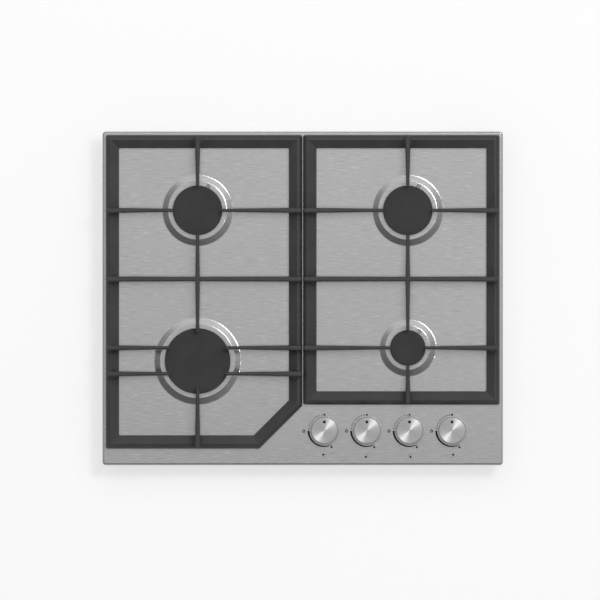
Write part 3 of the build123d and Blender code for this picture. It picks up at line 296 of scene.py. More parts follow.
class GeometryTree(NodeTree):
    """A Geometry Nodes tree with named inputs, which ends in Realize Instances and Set Material."""

    def __init__(self, name: str) -> None:
        """Start a tree that takes and gives one geometry.

        Args:
            name: The tree's name.
        """
        self.group = bpy.data.node_groups.new(name, "GeometryNodeTree")
        super().__init__(self.group)
        for way in ("INPUT", "OUTPUT"):
            self.group.interface.new_socket("Geometry", in_out=way, socket_type="NodeSocketGeometry")
        self.entry = self.node("NodeGroupInput")
        self.points = self.entry.outputs[0]
        self.identifiers: dict[str, str] = {}

    def size(self, name: str, whole: bool = False) -> Socket:
        """A named input.

        Args:
            name: Its name.
            whole: Whether it is a whole number.

        Returns:
            The socket that gives it inside the tree.
        """
        kind = "NodeSocketInt" if whole else "NodeSocketFloat"
        item = self.group.interface.new_socket(name, in_out="INPUT", socket_type=kind)
        self.identifiers[name] = item.identifier
        return self.entry.outputs[name]

    def close(self, shape: Node, finish: Finish) -> GeometryTree:
        """End the tree with plain geometry in one finish.

        Args:
            shape: The node that makes the geometry.
            finish: The finish.

        Returns:
            The tree.
        """
        plain = self.node("GeometryNodeRealizeInstances", {}, {0: shape.outputs[0]})
        inputs = {0: plain.outputs[0], "Material": finish.material()}
        painted = self.node("GeometryNodeSetMaterial", {}, inputs)
        self.node("NodeGroupOutput", {}, {0: painted.outputs[0]})
        return self

    def grow(self, name: str, points: Mesh, sizes: dict[str, float]) -> Mesh:
        """Run the tree on a mesh of points.

        Args:
            name: Name of the new mesh.
            points: The points that the tree starts from.
            sizes: A number for each named input.

        Returns:
            A plain mesh.
        """
        holder = bpy.data.objects.new(name + "_points", points)
        bpy.context.scene.collection.objects.link(holder)
        modifier = holder.modifiers.new("grow", "NODES")
        modifier.node_group = self.group
        for key, value in sizes.items():
            modifier[self.identifiers[key]] = value
        bpy.context.view_layer.update()
        graph = bpy.context.evaluated_depsgraph_get()
        grown = bpy.data.meshes.new_from_object(holder.evaluated_get(graph))
        grown.name = name
        holder.modifiers.remove(modifier)
        bpy.data.objects.remove(holder)
        return grown


# --- Finishes ---------------------------------------------------------------------------------
def tone(colour: Colour, factor: float) -> Colour:
    """A colour made lighter or darker by a factor."""
    red, green, blue = (min(1.0, part * factor) for part in colour)
    return red, green, blue


@dataclass(frozen=True)
class Finish:
    """What every finish shares: its name and its plain colour."""

    name: str
    colour: Colour

    def sockets(self, tree: ShaderTree) -> dict[str, object]:
        """A value or a link for each socket of the surface shader that the finish sets."""
        raise NotImplementedError

    def shades(self, tree: ShaderTree, share: Value, dark: float, light: float = 1.0) -> Socket:
        """The plain colour, from a darker to a lighter tone of it."""
        return tree.blend(share, tone(self.colour, dark), tone(self.colour, light))

    def material(self) -> bpy.types.Material:
        """The finish as a material.

        Returns:
            The material, which is made on first use.
        """
        known = bpy.data.materials.get(self.name)
        if known is None:
            known = bpy.data.materials.new(self.name)
            tree = ShaderTree(known)
            tree.surface(self.sockets(tree))
        return known


@dataclass(frozen=True)
class BrushedSheet(Finish):
    """Stainless sheet with its grain from left to right, handled and wiped."""

    roughness: float = 0.21
    contrast: float = 0.065
    metal: float = 0.88

    def sockets(self, tree: ShaderTree) -> dict[str, object]:
        """Fine grain, short light and dark dashes, faint clouds, and hairlines that cross the grain.

        Args:
            tree: The material's nodes.

        Returns:
            Its sockets of the shader.
        """
        fine = tree.noise((24, 1300, 1300), 3.0, 0.6)
        dash = tree.noise((58, 900, 900), 1.0)
        cloud = tree.noise(6.0)
        stray = tree.noise(1.0, where=tree.place((60, 900, 900), (0, 0, 0.6))).step(0.66, 0.78)
        shine, score = dash.step(0.58, 0.74), 1.0 - dash.step(0.26, 0.42)
        grain = fine.step(0.3, 0.7) * 0.6 + cloud * 0.4
        colour = self.shades(tree, grain, 1 - self.contrast, 1 + self.contrast)
        colour = tree.blend(shine * 0.7, colour, tone(self.colour, 1 + 5 * self.contrast))
        colour = tree.blend(score * 0.7, colour, tone(self.colour, 1 - 3 * self.contrast))
        return {
            "Base Color": colour,
            "Metallic": self.metal,
            "Roughness": self.roughness + (fine - 0.5) * 0.1 + (cloud - 0.5) * 0.05 - stray * 0.03,
            "Normal": tree.bump(fine * 0.7 + dash * 0.4 - stray * 0.2, 0.03 * MM, 0.3),
        }


@dataclass(frozen=True)
class SpunFace(Finish):
    """Turned and spun aluminium, with fine rings about each knob's axis."""

    roughness: float = 0.36

    def sockets(self, tree: ShaderTree) -> dict[str, object]:
        """Rings and rays about the nearest knob's axis.

        Args:
            tree: The material's nodes.

        Returns:
            Its sockets of the shader.
        """
        x = (tree.axis(0) - KNOB_FIRST_X).wrapped(KNOB_PITCH)
        flat = tree.vector(x, tree.axis(1) - KNOB_ROW_Y)
        spread = tree.vector(tree.length(flat) * 1800.0, tree.axis(2) * 900.0)
        unit = tree.node("ShaderNodeVectorMath", {"operation": "NORMALIZE"}, {0: flat}).outputs[0]
        rings = tree.noise(1.0, 3.0, 0.65, spread)
        rays = tree.noise(7.0, 3.0, 0.6, unit)
        wear = tree.noise(240.0, 3.0)
        share = rings * 0.4 + rays * 0.45 + wear * 0.15
        return {
            "Base Color": self.shades(tree, share.step(0.3, 0.7), 0.93, 1.05),
            "Metallic": 1.0,
            "Roughness": self.roughness + (rings - 0.5) * 0.1 + (rays - 0.5) * 0.1,
            "Anisotropic": 0.9,
            "Anisotropic Rotation": 0.25,
            "Normal": tree.bump(rings, 0.01 * MM, 0.25),
        }


@dataclass(frozen=True)
class Enamel(Finish):
    """Dark enamel on a casting: orange peel, faint pits and specks, duller towards the flames."""

    roughness: float = 0.45
    gloss: float = 0.5
    peel: float = 700.0
    depth: float = 0.03 * MM
    heat_radius: float = 75.0 * MM
    heat_core: float = 0.45
    centres: tuple[Point, ...] = ()

    def heat(self, tree: ShaderTree) -> Value:
        """How near a point is to a flame.

        Args:
            tree: The material's nodes.

        Returns:
            0 to 1 over every burner, or faint clouds where no flame is.
        """
        total: Value | None = None
        for x, y in self.centres:
            away = tree.length(tree.vector(tree.axis(0) - x, tree.axis(1) - y))
            near = 1.0 - away.step(self.heat_radius * self.heat_core, self.heat_radius)
            total = near if total is None else total + near
        return total if total is not None else tree.noise(20.0) * 0.2

    def sockets(self, tree: ShaderTree) -> dict[str, object]:
        """Two sizes of skin texture, specks, and the flames' dulling.

        Args:
            tree: The material's nodes.

        Returns:
            Its sockets of the shader.
        """
        skin = tree.noise(self.peel)
        casting = tree.noise(self.peel / 6, 3.0)
        mottle = tree.noise(35.0, 3.0)
        distance, chance = tree.cells(self.peel * 0.7)
        speck = (1.0 - distance.step(0.05, 0.2)) * chance.step(0.86, 0.9)
        heat = self.heat(tree)
        colour = self.shades(tree, mottle.step(0.3, 0.7), 0.88, 1.12)
        colour = tree.blend(heat * 0.35 * mottle, colour, tone(self.colour, 1.7))
        return {
            "Base Color": tree.blend(speck * 0.5, colour, tone(self.colour, 2.2)),
            "Roughness": self.roughness + (mottle - 0.5) * 0.14 + heat * 0.07,
            "Specular IOR Level": self.gloss,
            "Normal": tree.bump(skin * 0.55 + casting * 0.45 + speck * 0.3, self.depth, 0.6),
        }


@dataclass(frozen=True)
class CastMetal(Finish):
    """Blasted or as-cast light metal with a sandy skin and dull patches."""

    roughness: float = 0.5
    grain: float = 1500.0
    soot: Colour = (0.09, 0.075, 0.06)
    soot_level: float = 0.0
    soot_depth: float = 6.0 * MM

    def sockets(self, tree: ShaderTree) -> dict[str, object]:
        """Sand grain, flow marks and, above a level, soot.

        Args:
            tree: The material's nodes.

        Returns:
            Its sockets of the shader.
        """
        sand = tree.noise(self.grain, 3.0, 0.7)
        flow = tree.noise(60.0, 3.0)
        colour = self.shades(tree, flow.step(0.3, 0.7) * 0.6 + sand * 0.4, 0.82, 1.1)
        if self.soot_level:
            level = tree.axis(2) + (flow - 0.5) * 4 * MM
            sooty = level.step(self.soot_level, self.soot_level + self.soot_depth)
            colour = tree.blend(sooty * 0.55, colour, self.soot)
        return {
            "Base Color": colour,
            "Metallic": 0.9,
            "Roughness": self.roughness + (sand - 0.5) * 0.2 + (flow - 0.5) * 0.15,
            "Normal": tree.bump(sand * 0.7 + flow * 0.3, 0.05 * MM, 0.6),
        }


@dataclass(frozen=True)
class ZincSheet(Finish):
    """Hot-dipped sheet with its spangle, rub marks and white bloom."""

    spangle: float = 75.0
    roughness: float = 0.38
    bloom: Colour = (0.72, 0.73, 0.73)
    warp: float = 0.012

    def sockets(self, tree: ShaderTree) -> dict[str, object]:
        """Crystals of random tone, rub marks along the sheet, and bloom.

        Args:
            tree: The material's nodes.

        Returns:
            Its sockets of the shader.
        """
        stir = tree.noise(40.0, output="Color")
        bend = {0: stir, 1: (self.warp,) * 3, 2: tree.places["Object"]}
        bent = tree.node("ShaderNodeVectorMath", {"operation": "MULTIPLY_ADD"}, bend)
        distance, chance = tree.cells(self.spangle, bent.outputs[0])
        fern = tree.noise(420.0, 3.0)
        rub = tree.noise((30, 500, 500))
        bloom = tree.noise(12.0, 4.0).step(0.5, 0.72)
        colour = self.shades(tree, chance * 0.6 + fern * 0.25 + rub * 0.15, 0.8, 1.14)
        return {
            "Base Color": tree.blend(bloom * 0.15, colour, self.bloom),
            "Metallic": 1.0,
            "Roughness": self.roughness + (chance - 0.5) * 0.2 + bloom * 0.12,
            "Normal": tree.bump(distance * 0.4 + fern * 0.3 + rub * 0.3, 0.02 * MM, 0.4),
        }


@dataclass(frozen=True)
class TurnedMetal(Finish):
    """Machined or drawn metal: tool lines on one axis, tarnish and small dents."""

    roughness: float = 0.26
    lines: Place = (900.0, 40.0, 900.0)
    tarnish: Colour = (0.3, 0.2, 0.1)
    tarnish_share: float = 0.35

    def sockets(self, tree: ShaderTree) -> dict[str, object]:
        """Tool lines, tarnish in clouds, and dents.

        Args:
            tree: The material's nodes.

        Returns:
            Its sockets of the shader.
        """
        tool = tree.noise(self.lines, 2.0, 0.6)
        cloud = tree.noise(70.0, 4.0, 0.6)
        dents = tree.noise(380.0)
        tarnished = cloud.step(0.45, 0.75) * self.tarnish_share
        return {
            "Base Color": tree.blend(tarnished, self.shades(tree, tool, 0.88, 1.08), self.tarnish),
            "Metallic": 1.0,
            "Roughness": self.roughness + (cloud - 0.4) * 0.3 + (tool - 0.5) * 0.1,
            "Normal": tree.bump(tool * 0.6 + dents * 0.4, 0.02 * MM, 0.5),
        }


@dataclass(frozen=True)
class Moulding(Finish):
    """Moulded plastic or rubber: a spark-eroded skin, flow marks and dust."""

    roughness: float = 0.5
    grain: float = 1300.0
    dust: Colour = (0.5, 0.48, 0.45)
    dust_share: float = 0.06

    def sockets(self, tree: ShaderTree) -> dict[str, object]:
        """Skin grain, flow marks and dust.

        Args:
            tree: The material's nodes.

        Returns:
            Its sockets of the shader.
        """
        skin = tree.noise(self.grain)
        flow = tree.noise(55.0, 3.0)
        dust = tree.noise(170.0, 4.0, 0.7).step(0.45, 0.7)
        colour = self.shades(tree, flow.step(0.3, 0.7), 0.9, 1.1)
        return {
            "Base Color": tree.blend(dust * self.dust_share, colour, self.dust),
            "Roughness": self.roughness + (flow - 0.5) * 0.12 + dust * 0.1,
            "Normal": tree.bump(skin * 0.7 + flow * 0.3, 0.03 * MM, 0.5),
        }


@dataclass(frozen=True)
class Glaze(Finish):
    """White glazed ceramic, crazed a little and browned where the flame licks it."""

    brown_from: float = 61.0 * MM
    brown_to: float = 67.0 * MM
    craze: Colour = (0.55, 0.5, 0.43)
    brown: Colour = (0.3, 0.2, 0.12)

    def sockets(self, tree: ShaderTree) -> dict[str, object]:
        """Craze lines, a slight tone for each cell between them, and browning by height.

        Args:
            tree: The material's nodes.

        Returns:
            Its sockets of the shader.
        """
        warp = tree.noise(600.0)
        craze, chance = tree.cells(900.0)
        level = tree.axis(2) + (warp - 0.5) * 2 * MM
        brown = level.step(self.brown_from, self.brown_to)
        crazed = craze.step(0.45, 0.6) * 0.25
        colour = tree.blend(crazed, self.shades(tree, chance, 0.95), self.craze)
        return {
            "Base Color": tree.blend(brown * 0.6, colour, self.brown),
            "Roughness": 0.18 + brown * 0.3 + (warp - 0.5) * 0.1,
            "Coat Weight": 0.5 - brown * 0.4,
            "Normal": tree.bump(craze * 0.5 + warp * 0.5, 0.02 * MM, 0.4),
        }


@dataclass(frozen=True)
class HeatTint(Finish):
    """Steel that has run through its temper colours towards the tip."""

    low: float = 60.0 * MM
    high: float = 73.5 * MM
    straw: Colour = (0.6, 0.55, 0.45)
    plum: Colour = (0.5, 0.42, 0.4)
    blue: Colour = (0.38, 0.38, 0.45)

    def sockets(self, tree: ShaderTree) -> dict[str, object]:
        """Temper colours by height, over drawn lines.

        Args:
            tree: The material's nodes.

        Returns:
            Its sockets of the shader.
        """
        stir = tree.noise(420.0, 3.0)
        lines = tree.noise((1200, 1200, 90))
        level = ((tree.axis(2) - self.low) / (self.high - self.low)) + (stir - 0.5) * 0.3
        stops = ((0.0, self.colour), (0.4, self.straw), (0.7, self.plum), (0.95, self.blue))
        return {
            "Base Color": tree.blend(lines, tree.ramp(level, stops), self.colour),
            "Metallic": 1.0,
            "Roughness": 0.3 + (stir - 0.5) * 0.2 + (lines - 0.5) * 0.1,
            "Normal": tree.bump(lines, 0.02 * MM, 0.5),
        }


@dataclass(frozen=True)
class Ink(Finish):
    """Screen-printed and fired ink, a little worn by wiping."""

    worn_to: Colour = (0.3, 0.3, 0.3)

    def sockets(self, tree: ShaderTree) -> dict[str, object]:
        """Mesh grain of the screen, and wear along the sheet's grain.

        Args:
            tree: The material's nodes.

        Returns:
            Its sockets of the shader.
        """
        screen = tree.noise(2600.0)
        wear = tree.noise((90, 900, 900), 3.0).step(0.58, 0.75)
        return {
            "Base Color": tree.blend(wear * 0.35, self.shades(tree, screen, 0.85, 1.2), self.worn_to),
            "Roughness": 0.6 + (screen - 0.5) * 0.2 + wear * 0.1,
            "Specular IOR Level": 0.15,
            "Normal": tree.bump(screen, 0.01 * MM, 0.5),
        }


@dataclass(frozen=True)
class PaleFloor(Finish):
    """Matt pale floor, lifted a little where it is seen, and clear from below."""

    lift: float = 0.59

    def sockets(self, tree: ShaderTree) -> dict[str, object]:
        """Faint clouds of tone and a fine tooth.

        Args:
            tree: The material's nodes.

        Returns:
            Its sockets of the shader.
        """
        cloud = tree.noise(1.3)
        tooth = tree.noise(900.0)
        return {
            "Base Color": self.shades(tree, cloud, 0.985),
            "Emission Color": tree.blend(tree.seen(), (0.0, 0.0, 0.0), (self.lift,) * 3),
            "Emission Strength": 1.0,
            "Alpha": 1.0 - tree.value("ShaderNodeNewGeometry", {}, {}, "Backfacing"),
            "Roughness": 0.85 + (tooth - 0.5) * 0.1,
            "Normal": tree.bump(tooth, 0.02 * MM, 0.2),
        }


# --- Meshes -----------------------------------------------------------------------------------
def new_piece(name: str, body: str, mesh: Mesh, finish: Finish | None = None) -> bpy.types.Object:
    """A mesh as a piece that rides on a body.

    Args:
        name: The piece's name.
        body: The body that carries it.
        mesh: Its mesh, with its place in it.
        finish: Its finish, unless the mesh has it already.

    Returns:
        The piece's object.
    """
    piece = bpy.data.objects.new(name, mesh)
    bpy.context.scene.collection.objects.link(piece)
    if finish is not None:
        mesh.materials.clear()
        mesh.materials.append(finish.material())
    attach(piece, body)
    LOG.info("made %s: %d faces, on %s", name, len(mesh.polygons), body)
    return piece


def finished_mesh(name: str, shape: BMesh, smooth_angle: float = 35.0) -> Mesh:
    """A mesh from a bmesh, with its doubles merged and its faces turned outwards.

    Args:
        name: The mesh's name.
        shape: The bmesh, which is freed.
        smooth_angle: Edges sharper than this stay hard, in degrees.

    Returns:
        The mesh.
    """
    bmesh.ops.remove_doubles(shape, verts=shape.verts, dist=1e-7)
    bmesh.ops.recalc_face_normals(shape, faces=shape.faces)
    limit = math.radians(smooth_angle)
    for face in shape.faces:
        face.smooth = True
    for edge in shape.edges:
        edge.smooth = len(edge.link_faces) == 2 and edge.calc_face_angle(0.0) < limit
    return plain_mesh(name, shape)


def plain_mesh(name: str, shape: BMesh) -> Mesh:
    """A mesh from a bmesh as it is.

    Args:
        name: The mesh's name.
        shape: The bmesh, which is freed.

    Returns:
        The mesh.
    """
    mesh = bpy.data.meshes.new(name)
    shape.to_mesh(mesh)
    shape.free()
    return mesh


def add_plate(shape: BMesh, outline: Sequence[Point], low: float, high: float) -> None:
    """Add a flat outline with a thickness.

    Args:
        shape: The bmesh that takes it.
        outline: Its corners, counter-clockwise.
        low: Lower level.
        high: Upper level.
    """
    under, over = ([shape.verts.new((x, y, level)) for x, y in outline] for level in (low, high))
    shape.faces.new(over)
    shape.faces.new(list(reversed(under)))
    for index in range(len(outline)):
        after = (index + 1) % len(outline)
        shape.faces.new((under[index], under[after], over[after], over[index]))


def add_band(
    shape: BMesh, outer: Sequence[Point], inner: Sequence[Point], low: float, high: float, closed: bool
) -> None:
    """Add a flat band between two lines of as many points.

    Args:
        shape: The bmesh that takes it.
        outer: Points of one edge.
        inner: Points of the other edge.
        low: Lower level.
        high: Upper level.
        closed: Whether the band closes on itself.
    """
    lines = ((outer, low), (outer, high), (inner, high), (inner, low))
    rows = [[shape.verts.new((x, y, level)) for x, y in line] for line, level in lines]
    count = len(outer)
    for index in range(count if closed else count - 1):
        after = (index + 1) % count
        for row, beside in zip(rows, rows[1:] + rows[:1]):
            shape.faces.new((row[index], row[after], beside[after], beside[index]))
    if not closed:
        shape.faces.new([row[0] for row in rows])
        shape.faces.new([row[-1] for row in reversed(rows)])


def add_turned(shape: BMesh, profile: Sequence[Point], x: float, y: float, steps: int = 48) -> None:
    """Add an upright turned form that is closed on its axis.

    Args:
        shape: The bmesh that takes it.
        profile: Radius and level, from the bottom's middle to the top's middle.
        x: Its axis.
        y: Its axis.
        steps: How many steps go round.
    """
    turns = [2 * math.pi * step / steps for step in range(steps)]
    rows = [
        [shape.verts.new((x + radius * math.cos(turn), y + radius * math.sin(turn), level)) for turn in turns]
        for radius, level in profile[1:-1]
    ]
    ends = [shape.verts.new((x, y, level)) for _, level in (profile[0], profile[-1])]
    for step in range(steps):
        after = (step + 1) % steps
        shape.faces.new((ends[0], rows[0][after], rows[0][step]))
        shape.faces.new((ends[1], rows[-1][step], rows[-1][after]))
        for low, high in zip(rows, rows[1:]):
            shape.faces.new((low[step], low[after], high[after], high[step]))


def point_mesh(name: str, places: Iterable[Place], sizes: Iterable[float]) -> Mesh:
    """Loose points, each with a size in the attribute "grow".

    Args:
        name: The mesh's name.
        places: Where the points are.
        sizes: The size of each.

    Returns:
        The mesh.
    """
    mesh = bpy.data.meshes.new(name)
    mesh.from_pydata(list(places), [], [])
    mesh.attributes.new("grow", "FLOAT", "POINT").data.foreach_set("value", list(sizes))
    return mesh


# --- Grown pieces -----------------------------------------------------------------------------
def pellet_tree(finish: Finish, taper: float = 0.86) -> GeometryTree:
    """A tree that sets a low round pellet with a soft edge on every point, as wide as the point's size.

    Args:
        finish: The pellets' finish.
        taper: How wide the top is, as a share of the foot.

    Returns:
        The tree.
    """
    tree = GeometryTree("pellets")
    sides, height, edge = tree.size("Sides", True), tree.size("Height"), tree.size("Edge")
    grow = tree.node("GeometryNodeInputNamedAttribute", {"data_type": "FLOAT"}, {"Name": "grow"}).outputs[0]
    inputs = {"Vertices": sides, "Radius": 1.0, "Depth": height}
    body = tree.node("GeometryNodeMeshCylinder", {}, inputs).outputs
    inputs = {"Mesh": body[0], "Selection": body["Top"], "Offset Scale": edge}
    top = tree.node("GeometryNodeExtrudeMesh", {}, inputs).outputs
    inputs = {"Geometry": top[0], "Selection": top["Top"], "Scale": taper}
    inset = tree.node("GeometryNodeScaleElements", {}, inputs).outputs[0]
    size = tree.node("ShaderNodeCombineXYZ", {}, {0: grow, 1: grow, 2: 1.0}).outputs[0]
    inputs = {"Points": tree.points, "Instance": inset, "Scale": size}
    return tree.close(tree.node("GeometryNodeInstanceOnPoints", {}, inputs), finish)


def winding_tree(finish: Finish, resolution: int = 40) -> GeometryTree:
    """A tree that winds a wire or a screw thread up from every point, about the point's own axis.

    Args:
        finish: The winding's finish.
        resolution: How many steps a turn has.

    Returns:
        The tree.
    """
    tree = GeometryTree("windings")
    radius, pitch, turns = tree.size("Radius"), tree.size("Pitch"), tree.size("Turns")
    wire, sides = tree.size("Wire"), tree.size("Sides", True)
    rise = tree.node("ShaderNodeMath", {"operation": "MULTIPLY"}, {0: pitch, 1: turns}).outputs[0]
    inputs = {"Resolution": resolution, "Rotations": turns, "Start Radius": radius, "End Radius": radius}
    helix = tree.node("GeometryNodeCurveSpiral", {}, {**inputs, "Height": rise}).outputs[0]
    inputs = {"Resolution": sides, "Radius": wire}
    section = tree.node("GeometryNodeCurvePrimitiveCircle", {}, inputs).outputs[0]
    wound = tree.node("GeometryNodeCurveToMesh", {}, {0: helix, 1: section, "Fill Caps": True}).outputs[0]
    inputs = {"Points": tree.points, "Instance": wound}
    return tree.close(tree.node("GeometryNodeInstanceOnPoints", {}, inputs), finish)


@dataclass(frozen=True)
class Winding:
    """A wire or a screw thread that is wound upwards."""

    radius: float
    pitch: float
    turns: float
    wire: float
    sides: int

    @classmethod
    def thread(cls, radius: float, pitch: float, turns: float, half: float = 0.3, sides: int = 4) -> Winding:
        """A screw thread; half is the radius of its wire as a share of the pitch."""
        return cls(radius, pitch, turns, half * pitch, sides)

    def mesh(self, name: str, finish: Finish, feet: Sequence[Place]) -> Mesh:
        """A plain mesh of this winding, in a finish, on each of the feet."""
        sizes = dict(zip(("Radius", "Pitch", "Turns", "Wire", "Sides"), astuple(self)))
        return winding_tree(finish).grow(name, point_mesh("feet", feet, [1.0] * len(feet)), sizes)


# --- Finishes of this hob ---------------------------------------------------------------------
BURNER_CENTRES: dict[Corner, Point] = {
    Corner.BACK_LEFT: (-157.5 * MM, 131.9 * MM),
    Corner.FRONT_LEFT: (-157.5 * MM, -93.8 * MM),
    Corner.FRONT_RIGHT: (157.5 * MM, -74.1 * MM),
    Corner.BACK_RIGHT: (157.5 * MM, 131.9 * MM),
}
STEEL_TOP = BrushedSheet("brushed_stainless", (0.368, 0.368, 0.366))
SPUN = SpunFace("spun_knob_face", (0.445, 0.445, 0.442))
SUPPORT_ENAMEL = Enamel(
    "support_enamel", (0.045, 0.045, 0.0455), gloss=0.42, centres=tuple(BURNER_CENTRES.values())
)
CAP_ENAMEL = Enamel(
    "cap_enamel", (0.046, 0.046, 0.046), roughness=0.55, gloss=0.25, peel=1100.0, depth=0.015 * MM
)
KNOB_WALL = TurnedMetal(
    "knob_wall", (0.42, 0.42, 0.418), 0.34, (60.0, 60.0, 1500.0), (0.3, 0.3, 0.3), tarnish_share=0.2
)
SPREADER_CAST = CastMetal("spreader_cast", (0.5, 0.5, 0.49), soot_level=69.0 * MM)
CUP_CAST = CastMetal("cup_cast", (0.5, 0.5, 0.5), roughness=0.55, grain=900.0)
VALVE_BRASS = TurnedMetal("valve_brass", (0.62, 0.47, 0.22))
FITTING_BRASS = TurnedMetal("fitting_brass", (0.66, 0.5, 0.23), lines=(60.0, 2200.0, 60.0))
PLUG_BRASS = TurnedMetal("lapped_brass", (0.68, 0.53, 0.26), roughness=0.16, tarnish_share=0.15)
BOX_ZINC = ZincSheet("galvanised_box", (0.55, 0.56, 0.57))
CLAMP_ZINC = ZincSheet("galvanised_clamp", (0.58, 0.59, 0.6), spangle=160.0, roughness=0.32)
PLATED = TurnedMetal("zinc_plated", (0.62, 0.62, 0.6), roughness=0.3, tarnish=(0.5, 0.46, 0.34))
RAIL_STEEL, TUBE_METAL, COPPER, SPRING_WIRE, SPINDLE_STEEL = (
    TurnedMetal(name, colour, lines=lines, tarnish=tarnish)
    for name, colour, lines, tarnish in (
        ("rail_steel", (0.5, 0.5, 0.5), (50.0, 900.0, 900.0), (0.25, 0.2, 0.17)),
        ("drawn_aluminium", (0.66, 0.66, 0.66), (300.0, 300.0, 300.0), (0.4, 0.4, 0.4)),
        ("drawn_copper", (0.65, 0.36, 0.22), (400.0, 400.0, 400.0), (0.2, 0.1, 0.06)),
        ("spring_wire", (0.5, 0.5, 0.5), (80.0, 80.0, 700.0), (0.3, 0.27, 0.22)),
        ("spindle_steel", (0.58, 0.58, 0.58), (60.0, 60.0, 1800.0), (0.4, 0.38, 0.35)),
    )
)
PIN_STEEL = HeatTint("electrode_pin", (0.6, 0.59, 0.57), low=64.0 * MM, high=72.0 * MM)
PROBE_STEEL = HeatTint("thermocouple_steel", (0.56, 0.55, 0.53))
INSULATOR = Glaze("electrode_glaze", (0.86, 0.85, 0.82))
FEET_RUBBER = Moulding("feet_rubber", (0.035, 0.035, 0.035), roughness=0.7)
SEAL_FOAM = Moulding("seal_foam", (0.05, 0.05, 0.05), roughness=0.9, grain=2200.0, dust_share=0.12)
BUSH_RUBBER = Moulding("bush_rubber", (0.04, 0.04, 0.04), roughness=0.65)
MODULE_PLASTIC = Moulding("module_plastic", (0.11, 0.11, 0.12), roughness=0.42, dust_share=0.1)
SWITCH_PLASTIC = Moulding("switch_plastic", (0.14, 0.14, 0.15), roughness=0.4)
BLOCK_PLASTIC = Moulding("block_plastic", (0.78, 0.77, 0.72), roughness=0.4, dust=(0.4, 0.37, 0.32))
LEAD_SLEEVE = Moulding("lead_sleeve", (0.74, 0.74, 0.71), grain=2600.0, dust=(0.35, 0.32, 0.28))
PRINT = Ink("fired_print", (0.012, 0.012, 0.012), worn_to=(0.08, 0.08, 0.08))
DOT_PAINT = Ink("pointer_paint", (0.012, 0.012, 0.012), worn_to=(0.05, 0.05, 0.05))


def paint(node: str, *finishes: Finish, choose: Callable[[Vector, Vector], int] | None = None) -> None:
    """Give a node of the frame its finishes.

    Args:
        node: The node's name.
        finishes: One finish, or several to choose from.
        choose: Which of them a face takes, from its middle and its normal.
    """
    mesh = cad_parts[node].data
    mesh.materials.clear()
    for finish in finishes:
        mesh.materials.append(finish.material())
    if choose is not None:
        for polygon in mesh.polygons:
            polygon.material_index = choose(polygon.center, polygon.normal)
    LOG.info("dressed %s in %s", node, ", ".join(finish.name for finish in finishes))


# --- Sub-assemblies ---------------------------------------------------------------------------
@dataclass
class SubAssembly:
    """Some nodes of the frame, with the finish of each, and what the scene adds to them."""

    spot: Corner | Side | None = None
    coats: ClassVar[dict[str, Finish]] = {}

    def called(self, name: str) -> str:
        """A name with the ending of this spot."""
        return name if self.spot is None else f"{name}_{self.spot.value}"

    def build(self) -> None:
        """Add nothing, unless the sub-assembly has pieces of its own."""

    def dress(self) -> None:
        """Give every node its finish."""
        for node, finish in self.coats.items():
            paint(self.called(node), finish)


@dataclass
class TopPlate(SubAssembly):
    """The pressed plate, its seal and what is threaded on its studs."""

    stud_low: float = 51.0 * MM
    thread: Winding = Winding.thread(radius=1.95 * MM, pitch=0.7 * MM, turns=5.0)
    studs_x: Place = (-180.0 * MM, 0.0, 180.0 * MM)
    studs_y: Place = (-150.0 * MM, 0.0, 150.0 * MM)
    edge_x: float = 280.8 * MM
    edge_y: float = 235.8 * MM
    coats: ClassVar[dict[str, Finish]] = {"top_plate": STEEL_TOP, "rim_seal": SEAL_FOAM, "box_nuts": PLATED}

    def build(self) -> None:
        """Wind the thread on the ends of the studs."""
        rows = [(x, y) for x in self.studs_x for y in (-self.edge_y, self.edge_y)]
        rows += [(x, y) for y in self.studs_y for x in (-self.edge_x, self.edge_x)]
        feet = [(x, y, self.stud_low) for x, y in rows]
        new_piece("stud_threads", HOB, self.thread.mesh("stud_threads", PLATED, feet))


